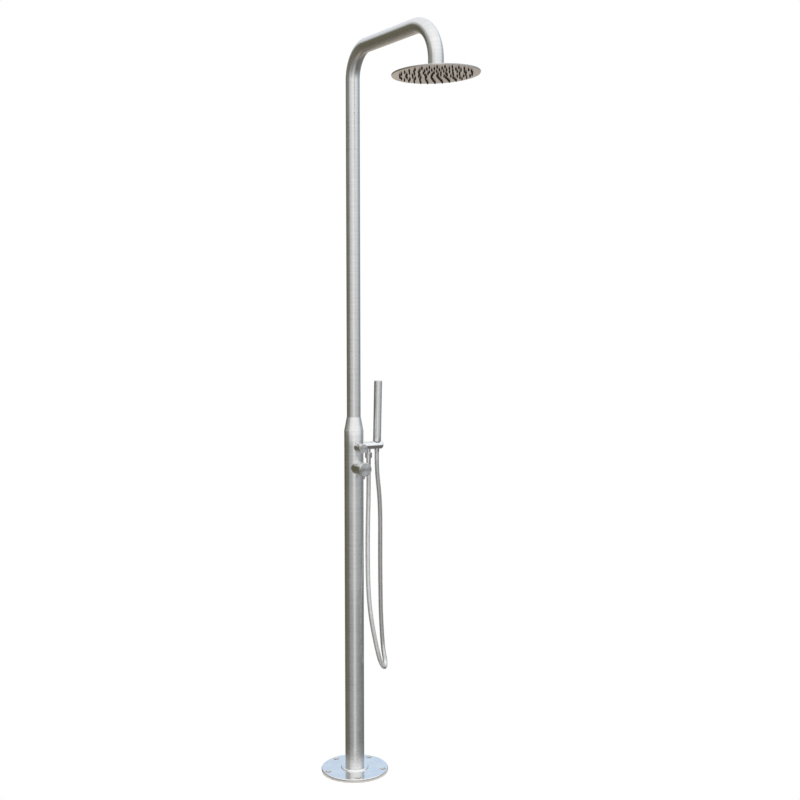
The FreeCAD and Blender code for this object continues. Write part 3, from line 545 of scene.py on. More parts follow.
def carried_skin(centre: Array, side: Array, up: Array, radius: Array, along: Array,
                 columns: int) -> Skin:
    """Carry a circle of changing radius along a line that runs back to its start.

    The point at row i and column j is c_i + r_i (cos a_j side_i + sin a_j up_i).

    Args:
        centre: points on the line (n, 3).
        side: unit vectors square to the line (n, 3).
        up: unit vectors square to both (n, 3).
        radius: radius at each point (n,).
        along: metres along the line (n + 1,), the last at the first point again.
        columns: points round the line.

    Returns:
        The tube's surface.
    """
    angles = 2 * math.pi * np.arange(columns) / columns
    spoke = (np.cos(angles)[None, :, None] * side[:, None] +
             np.sin(angles)[None, :, None] * up[:, None])
    points = centre[:, None] + radius[:, None, None] * spoke
    around = np.linspace(0, 2 * math.pi * radius.max(), columns + 1)
    return Skin(points, around, along, ring=True)


def linked(name: str, data: Any) -> bpy.types.Object:
    """Put a new object into the scene.

    Args:
        name: its name.
        data: its mesh, curve, camera or lamp.

    Returns:
        The new object.
    """
    piece = bpy.data.objects.new(name, data)
    bpy.context.scene.collection.objects.link(piece)
    return piece


def aimed(piece: bpy.types.Object, spot: Spot, aim: Vector) -> None:
    """Place a camera or a lamp and turn it the way it looks.

    Args:
        piece: camera or lamp.
        spot: its place.
        aim: direction that it looks in.
    """
    piece.location = spot
    piece.rotation_mode = "QUATERNION"
    piece.rotation_quaternion = aim.to_track_quat("-Z", "Y")


def finished(piece: bpy.types.Object, *finishes: Finish) -> bpy.types.Object:
    """Give a piece its materials.

    Args:
        piece: object to dress.
        finishes: its finishes, the main one first.

    Returns:
        The same object.
    """
    piece.data.materials.clear()
    for finish in finishes:
        piece.data.materials.append(finish.material())
    return piece


def kept(node: str, finish: Finish) -> None:
    """Dress a CAD node that keeps its own mesh and body.

    Args:
        node: name of the CAD node.
        finish: its finish.
    """
    finished(frame["nodes"][node], finish)


def made_piece(name: str, skins: Sequence[Skin], finish: Finish) -> bpy.types.Object:
    """Join surfaces into one smooth, welded mesh object at the origin.

    Args:
        name: name of the piece.
        skins: its surfaces.
        finish: its finish.

    Returns:
        The new object.
    """
    finishes = [finish] + sorted({skin.finish for skin in skins if skin.finish},
                                 key=lambda other: other.name)
    points, quads, corners, choice, first = [], [], [], [], 0
    for skin in skins:
        faces, uv = skin.faces(first)
        points.append(skin.points.reshape(-1, 3))
        quads.append(faces)
        corners.append(uv)
        choice.append(np.full(len(faces), finishes.index(skin.finish or finish)))
        first += len(points[-1])
    mesh = bpy.data.meshes.new(name)
    mesh.from_pydata(np.vstack(points).tolist(), [], np.vstack(quads).tolist())
    mesh.uv_layers.new(name=WRAP).data.foreach_set("uv", np.vstack(corners).ravel())
    piece = linked(name, mesh)
    finished(piece, *finishes)
    mesh.polygons.foreach_set("material_index", np.concatenate(choice).astype(np.int32))
    welded(mesh)
    return piece


def welded(mesh: bpy.types.Mesh) -> None:
    """Merge a mesh's doubled points, turn its faces outwards and shade it smooth.

    Args:
        mesh: mesh to weld. Normals that it carries of its own are dropped.
    """
    if mesh.has_custom_normals:
        mesh.attributes.remove(mesh.attributes["custom_normal"])
    shape = bmesh.new()
    shape.from_mesh(mesh)
    bmesh.ops.remove_doubles(shape, verts=shape.verts, dist=WELD)
    bmesh.ops.recalc_face_normals(shape, faces=shape.faces)
    shape.to_mesh(mesh)
    shape.free()
    mesh.shade_smooth()
    mesh.set_sharp_from_angle(angle=SMOOTH_BELOW)


def smooth_copy(node: str, seat: Seat, finish: Finish) -> bpy.types.Object:
    """A CAD node's shape as a smooth piece with a UV map round its seat's axis.

    At a corner whose own place is (x, y, z), u is atan2(y, x) times the largest radius
    and v is z less the distance to the axis, so that it runs on over a flat end. A face
    over the seam has its negative angles moved on by a full turn.

    Args:
        node: name of the CAD node.
        seat: frame whose Z axis is the piece's own axis.
        finish: its finish.

    Returns:
        The new object, which replaces the node.
    """
    name = node + "_smooth"
    mesh = frame["nodes"][node].data.copy()
    mesh.name = name
    welded(mesh)
    for layer in list(mesh.uv_layers):
        mesh.uv_layers.remove(layer)
    corners = np.zeros(len(mesh.loops), np.int32)
    mesh.loops.foreach_get("vertex_index", corners)
    points = np.zeros(len(mesh.vertices) * 3)
    mesh.vertices.foreach_get("co", points)
    own = seat.own(points.reshape(-1, 3))[corners]
    angle = np.arctan2(own[:, 1], own[:, 0]).reshape(-1, 3)
    over = np.ptp(angle, axis=1) > math.pi
    angle[over] = np.where(angle[over] < 0, angle[over] + 2 * math.pi, angle[over])
    away = np.hypot(own[:, 0], own[:, 1])
    uv = np.stack([angle.ravel() * away.max(), own[:, 2] - away], axis=-1)
    mesh.uv_layers.new(name=WRAP).data.foreach_set("uv", uv.ravel())
    piece = linked(name, mesh)
    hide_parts(node)
    return finished(piece, finish)


def mounted(piece: bpy.types.Object, body: str, *nodes: str) -> bpy.types.Object:
    """Let a piece ride on a body and stand for CAD nodes.

    Args:
        piece: finished piece.
        body: body that it moves with.
        nodes: CAD nodes that it replaces, if any.

    Returns:
        The same object.
    """
    if nodes:
        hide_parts(*nodes)
    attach(piece, body)
    LOG.info("%s rides on %s, %d faces", piece.name, body, len(piece.data.polygons))
    return piece


# --------------------------------------------------------------------- studio


@dataclass(frozen=True)
class Belt:
    """What the metal sees all round at one height above the horizon, in degrees.

    Each stop is a bearing in degrees, 0 towards the camera and growing to the right, and
    the colour there. The first, at -180, closes the round at 180 as well.
    """

    height: float
    stops: tuple[tuple[float, Colour], ...]

    def ramp(self) -> list[tuple[float, Colour]]:
        """The stops as those of a colour ramp, from 0 to 1."""
        closed = (*self.stops, (180, self.stops[0][1]))
        return [(bearing / 360 + 0.5, colour) for bearing, colour in closed]


@dataclass
class Studio:
    """Camera of the photograph, pale floor, white surroundings and one soft lamp."""

    camera_spot: Spot = (3.2797, -1.7279, 1.4869)
    camera_aim: Spot = (-0.86306, 0.49829, -0.08263)
    lens_mm: float = 54.0
    sensor_mm: float = 36.0
    floor_radius: float = 0.125
    floor_sides: int = 64
    floor_drop: float = 0.0004
    floor_grey: float = 0.42
    floor_glow: float = 0.68
    lamp_spot: Spot = (1.6, -2.4, 3.4)
    lamp_target: Spot = (0.1, 0.0, 1.0)
    lamp_size: float = 1.6
    lamp_watts: float = 45.0
    belts: tuple[Belt, ...] = (
        Belt(-65, ((-180, (0.46, 0.40, 0.34)), (-60, (0.42, 0.36, 0.30)),
                   (-30, (0.28, 0.28, 0.27)), (60, (0.13, 0.13, 0.12)),
                   (130, (0.20, 0.19, 0.17)))),
        Belt(-40, ((-180, (0.42, 0.37, 0.31)), (-150, (0.24, 0.21, 0.165)),
                   (-100, (0.15, 0.14, 0.11)), (-66, (0.16, 0.15, 0.125)),
                   (-50, (0.25, 0.25, 0.24)), (-14, (0.28, 0.28, 0.275)),
                   (6, (0.66, 0.66, 0.65)), (26, (0.26, 0.26, 0.255)),
                   (60, (0.15, 0.15, 0.14)), (130, (0.18, 0.18, 0.17)),
                   (165, (0.28, 0.25, 0.21)))),
        Belt(-7.5, ((-180, (0.70, 0.63, 0.56)), (-162, (0.52, 0.46, 0.40)),
                   (-148, (0.14, 0.13, 0.09)), (-120, (0.13, 0.125, 0.075)),
                   (-98, (0.18, 0.165, 0.13)), (-66, (0.19, 0.175, 0.145)),
                   (-50, (0.29, 0.295, 0.295)), (-16, (0.34, 0.345, 0.35)),
                   (6, (0.88, 0.88, 0.87)), (26, (0.37, 0.375, 0.38)),
                   (60, (0.165, 0.17, 0.17)), (110, (0.22, 0.225, 0.23)),
                   (160, (0.18, 0.18, 0.18)), (172, (0.55, 0.50, 0.45)))),
        Belt(-3.5, ((-180, (0.74, 0.70, 0.66)), (-160, (0.50, 0.46, 0.42)),
                  (-146, (0.13, 0.125, 0.085)), (-120, (0.13, 0.125, 0.07)),
                  (-98, (0.19, 0.175, 0.14)), (-64, (0.20, 0.185, 0.15)),
                  (-52, (0.50, 0.52, 0.52)), (-20, (0.68, 0.70, 0.71)),
                  (6, (1.14, 1.14, 1.13)), (30, (0.98, 1.0, 1.02)),
                  (66, (0.98, 1.02, 1.06)), (92, (0.62, 0.66, 0.70)),
                  (116, (0.30, 0.32, 0.34)), (160, (0.30, 0.30, 0.30)))),
        Belt(12, ((-180, (0.72, 0.78, 0.86)), (-160, (0.46, 0.45, 0.42)),
                  (-144, (0.13, 0.125, 0.085)), (-120, (0.13, 0.125, 0.07)),
                  (-98, (0.18, 0.165, 0.13)), (-64, (0.19, 0.175, 0.145)),
                  (-50, (0.66, 0.68, 0.68)), (-20, (1.06, 1.06, 1.06)),
                  (6, (1.16, 1.16, 1.16)), (40, (1.06, 1.08, 1.10)),
                  (66, (1.0, 1.06, 1.13)), (92, (0.60, 0.66, 0.74)),
                  (116, (0.36, 0.39, 0.42)), (160, (0.48, 0.53, 0.60)))),
        Belt(24, ((-180, (0.64, 0.79, 0.97)), (-150, (0.72, 0.78, 0.86)),
                  (-120, (0.62, 0.63, 0.62)), (-66, (0.42, 0.41, 0.39)),
                  (-50, (1.12, 1.12, 1.12)), (60, (1.20, 1.20, 1.20)),
                  (92, (0.95, 1.0, 1.06)), (120, (0.52, 0.57, 0.63)),
                  (150, (0.62, 0.74, 0.88)))),
        Belt(38, ((-180, (1.08, 1.10, 1.14)), (-90, (1.06, 1.07, 1.10)),
                  (0, (1.25, 1.25, 1.25)))))

    def camera(self) -> None:
        """Place the camera, level, and make it the scene's own."""
        data = bpy.data.cameras.new("camera")
        data.lens, data.sensor_width = self.lens_mm, self.sensor_mm
        camera = linked("camera", data)
        aimed(camera, self.camera_spot, Vector(self.camera_aim))
        bpy.context.scene.camera = camera

    def floor(self) -> None:
        """Pale round floor: white by itself, and darker where it is in shadow."""
        angles = 2 * math.pi * np.arange(self.floor_sides) / self.floor_sides
        rim = self.floor_radius * np.stack([np.cos(angles), np.sin(angles), 0 * angles], axis=-1)
        mesh = bpy.data.meshes.new("floor")
        mesh.from_pydata(rim.tolist(), [], [list(range(self.floor_sides))])
        floor = linked("floor", mesh)
        floor.location.z = -self.floor_drop
        material = bpy.data.materials.new("pale_floor")
        material.use_nodes = True
        wiring = Wiring(material.node_tree)
        path = wiring.add("LightPath")
        seen = wiring.math("ADD", path.outputs["Is Camera Ray"], path.outputs["Is Glossy Ray"])
        seen = wiring.math("ADD", seen, path.outputs["Is Transmission Ray"], clamp=True)
        diffuse = wiring.add("BsdfDiffuse", {0: (*(self.floor_grey,) * 3, 1.0)})
        glow = wiring.add("Emission", {0: (1.0, 1.0, 1.0, 1.0),
                                       1: wiring.math("MULTIPLY", seen, self.floor_glow)})
        both = wiring.add("AddShader", {0: diffuse.outputs[0], 1: glow.outputs[0]})
        wiring.add("OutputMaterial", {0: both.outputs[0]})
        mesh.materials.append(material)

    def surroundings(self) -> None:
        """White to the camera, and belts of a pale outdoor room to the metal.

        A direction has a bearing atan2(right, back) and a height asin(z). Its colour runs
        smoothly from belt to belt with the height.
        """
        aim = Vector(self.camera_aim)
        back = Vector((-aim.x, -aim.y, 0)).normalized()
        right = Vector((aim.y, -aim.x, 0)).normalized()
        world = bpy.data.worlds.new("studio_world")
        world.use_nodes = True
        wiring = Wiring(world.node_tree)
        way = wiring.add("TexCoord").outputs["Generated"]
        split = wiring.add("SeparateXYZ", {0: way})
        height = wiring.math("MULTIPLY", wiring.math("ARCSINE", split.outputs[2]), 180 / math.pi)
        parts = [wiring.add("VectorMath", {0: way, 1: axis}, operation="DOT_PRODUCT").outputs[1]
                 for axis in (right, back)]
        bearing = wiring.math("ARCTAN2", parts[0], parts[1])
        turn = wiring.math("ADD", wiring.math("DIVIDE", bearing, 2 * math.pi), 0.5)
        room = wiring.ramp(turn, self.belts[0].ramp())
        for below, above in zip(self.belts, self.belts[1:]):
            share = wiring.span(height, below.height, above.height, 0.0, 1.0)
            room = wiring.mix(share, room, wiring.ramp(turn, above.ramp()))
        rays = wiring.add("LightPath")
        seen = wiring.math("ADD", rays.outputs["Is Camera Ray"],
                           rays.outputs["Is Transmission Ray"], clamp=True)
        colour = wiring.mix(seen, room, (1.0, 1.0, 1.0))
        light = wiring.add("Background", {0: colour, 1: 1.0})
        wiring.add("OutputWorld", {0: light.outputs[0]})
        bpy.context.scene.world = world

    def lamp(self) -> None:
        """One wide soft lamp, high and to the left of the camera."""
        data = bpy.data.lights.new("soft_lamp", "AREA")
        data.size, data.energy = self.lamp_size, self.lamp_watts
        lamp = linked("soft_lamp", data)
        aimed(lamp, self.lamp_spot, Vector(self.lamp_target) - Vector(self.lamp_spot))
        lamp.visible_glossy = False

    def build(self) -> None:
        """Make the floor, the surroundings and the lamp."""
        self.floor()
        self.surroundings()
        self.lamp()
        bpy.context.scene.view_settings.view_transform = "Standard"


# ----------------------------------------------------------------------- hose


@dataclass
class ShowerHose:
    """Ribbed metal hose from the outlet under the bar to the handset's cone nut."""

    diameter: float = 0.014
    bore: float = 0.009
    rib_pitch: float = 0.0034
    groove: float = 0.0006
    length: float = 1.4129
    columns: int = 20
    # One rib: share of the pitch, and depth there as a share of the groove's.
    rib: tuple[tuple[float, float], ...] = (
        (0.0, 1.0), (0.18, 0.1), (0.45, 0.0), (0.72, 0.1), (0.86, 1.0))
    line_steps: int = 24
    bore_rows: int = 180
    look_ahead: float = 0.004
    # The hose follows the outlet before the first point and the handset beyond the second.
    # The way between them leans, so that the change runs up the handset's own strand.
    bend_start: Spot = (0.0020, 0.0587, 0.9764)
    bend_end: Spot = (0.0075, 0.0770, 0.97795)
    # The route's corner points in millimetres.
    route_mm: tuple[Spot, ...] = (
        (0, 52, 975.8), (0, 52, 880.8), (9, 43, 764), (22, 36, 650), (34, 33, 560),
        (43, 37, 490), (50, 47, 425), (55, 60, 363), (42, 80, 334), (16, 102, 323),
        (-14, 119, 334), (-35, 123, 363), (-38, 120, 420), (-36, 115, 490),
        (-29, 110, 570), (-20, 104, 674), (-11, 100, 790), (-5, 94, 872),
        (0, 80.367, 963.018), (0, 81.524, 1014.005))

    def line(self) -> Array:
        """Points of the smooth curve that the route's corners steer."""
        curve = bpy.data.curves.new("hose_line", "CURVE")
        curve.dimensions, curve.resolution_u = "3D", self.line_steps
        spline = curve.splines.new("NURBS")
        spline.points.add(len(self.route_mm) - 1)
        corners = np.array(self.route_mm) * MILLIMETRE
        spline.points.foreach_set("co", np.column_stack([corners, np.ones(len(corners))]).ravel())
        spline.order_u = 3
        spline.use_endpoint_u = True
        holder = linked("hose_line", curve)
        graph = bpy.context.evaluated_depsgraph_get()
        mesh = bpy.data.meshes.new_from_object(holder.evaluated_get(graph))
        points = np.zeros(len(mesh.vertices) * 3)
        mesh.vertices.foreach_get("co", points)
        bpy.data.objects.remove(holder)
        return points.reshape(-1, 3)

    def build(self) -> bpy.types.Object:
        """Carry the ribbed section along the line.

        The outside repeats the rib's table from end to end, and a plain bore runs back
        inside it. The circles turn as little as they can: their sides stay as near as the
        line lets them to one level direction.

        Returns:
            The hose's object.
        """
        line = self.line()
        steps = np.linalg.norm(np.diff(line, axis=0), axis=1)
        walked = np.concatenate([[0.0], np.cumsum(steps)])
        total = float(walked[-1])
        ribs = int(total / self.rib_pitch)
        outer, inner = self.diameter / 2, self.bore / 2
        shares, depths = np.array(self.rib).T
        heights = outer - depths * self.groove
        pitch = total / ribs
        out_along = ((np.arange(ribs)[:, None] + shares) * pitch).ravel()
        out_along = np.append(out_along, total)
        out_radius = np.append(np.tile(heights, ribs), outer - self.groove)
        back_along = np.linspace(total, 0, self.bore_rows)
        along = np.concatenate([out_along, back_along])
        radius = np.concatenate([out_radius, np.full(len(back_along), inner)])
        centre = np.stack([np.interp(along, walked, line[:, k]) for k in range(3)], axis=-1)
        fore = np.clip(along + self.look_ahead, 0, total)
        aft = np.clip(along - self.look_ahead, 0, total)
        ahead = np.stack([np.interp(fore, walked, line[:, k]) - np.interp(aft, walked, line[:, k])
                          for k in range(3)], axis=-1)
        ahead /= np.linalg.norm(ahead, axis=1)[:, None]
        steady = np.array([0.5, math.sqrt(0.75), 0.0])
        side = steady - ahead * (ahead @ steady)[:, None]
        side /= np.linalg.norm(side, axis=1)[:, None]
        skin = carried_skin(centre, side, np.cross(ahead, side), radius,
                            np.append(along, along[0]) * self.rib_pitch / pitch, self.columns)
        hose = made_piece("ribbed_hose", [skin], HOSE_STEEL)
        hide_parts("shower_hose")
        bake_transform(hose)
        LOG.info("hose line %.4f m, %d ribs", total, ribs)
        return hose


# --------------------------------------------------------------- sub-assemblies


@dataclass
class FloorPlate:
    """Round polished plate with countersunk anchor holes, and the collar on it."""

    bevel: float = 0.0015
    entry_radius: float = 0.026
    hole_radius: float = 0.0065
    sink_radius: float = 0.0095
    circle_radius: float = 0.091
    hole_count: int = 5
    first_angle: float = math.radians(50)
    collar_bevel: float = 0.0018
    collar_trim: float = 0.0006
    collar_columns: int = 128
    soft_edge: float = 0.0003
    bevel_guard: float = 0.0001
    sink_guard: float = 0.0002
    flat_ring: float = 1.15  # guard ring round a hole, in radii of its countersink
    arc_steps: int = 24
    side_steps: int = 12

    @staticmethod
    def outer_radius() -> float:
        """Radius of the plate, from its node."""
        return float(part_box("base_plate")[1].x)

    def sector(self, angle: float, height: float) -> list[Skin]:
        """The part of the plate round one hole, from its outline down through the hole.

        Seen from the hole's centre each point of the sector's outline has a bearing. The
        grid runs from that point straight to the hole's edge at the same bearing, down
        the countersink and the bore, and straight out again under the plate.

        Args:
            angle: direction of the hole from the plate's centre.
            height: thickness of the plate.

        Returns:
            The sector's top, the hole's wall in its own finish, and the underside.
        """
        half = math.pi / self.hole_count
        arc = np.linspace(-half, half, self.arc_steps + 1)[:-1]
        spoke = np.linspace(0, 1, self.side_steps + 1)[:-1]
        outer, inner = self.outer_radius() - self.bevel, self.entry_radius
        radii = np.concatenate([np.full(self.arc_steps, outer), outer + spoke * (inner - outer),
                                np.full(self.arc_steps, inner), inner + spoke * (outer - inner)])
        turns = np.concatenate([arc, np.full(self.side_steps, half), -arc,
                                np.full(self.side_steps, -half)])
        rim = np.stack([radii * np.cos(angle + turns), radii * np.sin(angle + turns)], axis=-1)
        centre = self.circle_radius * np.array([math.cos(angle), math.sin(angle)])
        bearing = (rim - centre) / np.linalg.norm(rim - centre, axis=1)[:, None]
        sink = self.sink_radius - self.hole_radius
        guard = self.sink_guard
        rows = [(rim, height), (centre + self.flat_ring * self.sink_radius * bearing, height),
                (centre + (self.sink_radius + guard) * bearing, height),
                (centre + (self.sink_radius - guard / 2) * bearing, height - guard),
                (centre + self.hole_radius * bearing, height - sink),
                (centre + self.hole_radius * bearing, 0.0), (rim, 0.0)]
        points = np.stack([np.column_stack([flat, np.full(len(flat), z)]) for flat, z in rows])
        along = np.concatenate([[0.0], np.cumsum(np.linalg.norm(
            np.diff(points[:, 0], axis=0), axis=1))])
        around = np.linspace(0, 2 * math.pi * self.hole_radius, len(rim) + 1)
        # the hole's wall takes the cut-edge finish, darkened partly as painted shade
        return [Skin(points[:3], around, along[:3]),
                Skin(points[2:6], around, along[2:6], finish=SHADED_CUT_EDGE),
                Skin(points[5:], around, along[5:])]

    def build(self) -> None:
        """Make the plate from its sectors, rim and entry wall, and the collar."""
        radius, height = self.outer_radius(), float(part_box("base_plate")[1].z)
        columns = self.hole_count * self.arc_steps
        start = self.first_angle - math.pi / self.hole_count
        edge, soft, guard = radius - self.bevel, self.soft_edge, self.bevel_guard
        rim = np.array([(edge, height), (radius - guard, height - self.bevel + guard),
                        (radius, height - self.bevel - soft), (radius, soft),
                        (radius - soft, 0.0), (edge, 0.0)])
        entry = np.array([(self.entry_radius, height), (self.entry_radius, 0.0)])
        # the rim's bevel and side take the cut-edge finish, darkened partly as painted shade
        skins = [turned_skin(rim[:2], UPRIGHT, columns, start=start),
                 turned_skin(rim[1:], UPRIGHT, columns, start=start, finish=SHADED_CUT_EDGE),
                 turned_skin(entry, UPRIGHT, columns, start=start)]
        for turn in range(self.hole_count):
            skins += self.sector(self.first_angle + 2 * math.pi * turn / self.hole_count, height)
        mounted(made_piece("floor_plate", skins, POLISHED_PLATE), "post", "base_plate")
        low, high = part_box("base_collar")
        shaft, base, top = float(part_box("column_tube")[1].x), float(low.z), float(high.z)
        rim_radius = float(high.x)
        outline = softened([(shaft, base, 0), (rim_radius, base, 0),
                            (rim_radius, top - self.collar_bevel, self.collar_trim),
                            (rim_radius - self.collar_bevel, top, self.collar_trim),
                            (shaft, top, 0)], closed=True)
        collar = turned_skin(outline, UPRIGHT, self.collar_columns, closed=True)
        mounted(made_piece("collar", [collar], POLISHED_PLATE), "post", "base_collar")


@dataclass
class Column:
    """Lower tube and the reducer that carries the riser."""

    wall: float = 0.002
    riser_wall: float = 0.0015
    rows: int = 24
    columns: int = 128
    soft_edge: float = 0.0002
    soft_height: float = 0.0004
    # Where the cone's straight side starts and ends, as radius and height off its two ends.
    foot: tuple[float, float] = (0.0008, 0.0022)
    neck: tuple[float, float] = (0.0010, 0.0030)
    neck_flat: float = 0.0003

    def build(self) -> None:
        """Turn the tube and the reducer from the frame's boxes."""
        low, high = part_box("column_tube")
        radius, base, top = float(high.x), float(low.z), float(high.z)
        bore = radius - self.wall
        heights = np.linspace(top, base, self.rows)[1:-1]
        outline = np.vstack([[(bore, base), (bore, top), (radius - self.soft_edge, top),
                              (radius, top - self.soft_height)],
                             np.column_stack([np.full(len(heights), radius), heights]),
                             [(radius, base)]])
        tube = turned_skin(outline, UPRIGHT, self.columns, closed=True)
        mounted(made_piece("lower_column", [tube], BRUSHED_TUBE), "post", "column_tube")
        low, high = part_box("reducer_cone")
        narrow = riser_radius()
        cone = np.array([(bore, low.z), (radius - self.soft_edge, low.z),
                         (radius, low.z + self.soft_height),
                         (radius - self.foot[0], low.z + self.foot[1]),
                         (narrow + self.neck[0], high.z - self.neck[1]),
                         (narrow, high.z - self.neck_flat), (narrow, high.z),
                         (narrow - self.riser_wall, high.z)])
        skin = turned_skin(cone, UPRIGHT, self.columns, closed=True)
        mounted(made_piece("reducer", [skin], BRUSHED_TUBE), "post", "reducer_cone")


def riser_radius() -> float:
    """Radius of the riser, from the width of its node."""
    low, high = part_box("riser_arm_tube")
    return float(high.y - low.y) / 2


@dataclass
class RiserArm:
    """One tube, bent twice: up, over and down to the rain head."""

    first_bend: float = 0.09
    second_bend: float = 0.11
    wall: float = 0.0015
    bend_rows: int = 36
    riser_rows: int = 30
    level_rows: int = 8
    drop_rows: int = 4
    columns: int = 96
    soft_edge: float = 0.0004

    def build(self) -> None:
        """Carry a circle along the tube's line.

        With the way s walked so far, each bend turns the heading by (s - its start) over
        its radius, held between 0 and a quarter turn, and each straight adds its length.
        """
        low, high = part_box("riser_arm_tube")
        radius = riser_radius()
        base, top, end = float(low.z), float(high.z) - radius, self.tube_end()
        reach = float(high.x) - radius
        quarter = math.pi / 2
        lengths = [top - self.first_bend - base, self.first_bend * quarter,
                   reach - self.first_bend - self.second_bend, self.second_bend * quarter]
        lengths.append(top - self.second_bend - end)
        starts = np.concatenate([[0.0], np.cumsum(lengths)])
        soft = self.soft_edge
        total = starts[5]
        counts = (self.riser_rows, self.bend_rows, self.level_rows, self.bend_rows,
                  self.drop_rows)
        ends = [soft, *starts[1:5], total - soft]
        out = np.unique(np.concatenate([np.linspace(a, b, count)
                                        for a, b, count in zip(ends, ends[1:], counts)]))
        walked = np.concatenate([[0.0], out, [total, total], out[::-1], [0.0]])
        thick = radius - self.wall
        radii = np.concatenate([[radius - soft], np.full(len(out), radius),
                                [radius - soft, thick + soft], np.full(len(out), thick),
                                [thick]])
        first = np.clip((walked - starts[1]) / self.first_bend, 0, quarter)
        second = np.clip((walked - starts[3]) / self.second_bend, 0, quarter)
        rise = np.clip(walked, 0, lengths[0])
        level = np.clip(walked - starts[2], 0, lengths[2])
        drop = np.clip(walked - starts[4], 0, lengths[4])
        x = self.first_bend * (1 - np.cos(first)) + level + self.second_bend * np.sin(second)
        z = (base + rise + self.first_bend * np.sin(first) -
             self.second_bend * (1 - np.cos(second)) - drop)
        heading = first + second
        zero = 0 * walked
        centre = np.stack([x, zero, z], axis=-1)
        up = np.stack([-np.cos(heading), zero, np.sin(heading)], axis=-1)
        side = np.stack([zero, zero + 1, zero], axis=-1)
        skin = carried_skin(centre, side, up, radii, np.append(walked, 0.0), self.columns)
        mounted(made_piece("riser_and_arm", [skin], BRUSHED_TUBE), "post", "riser_arm_tube")

    @staticmethod
    def tube_end() -> float:
        """Height of the tube's open end, from the nipple that is sunk into it."""
        recess, thickness = 0.004, 0.005
        return float(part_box("ball_nipple")[1].z) - recess - thickness


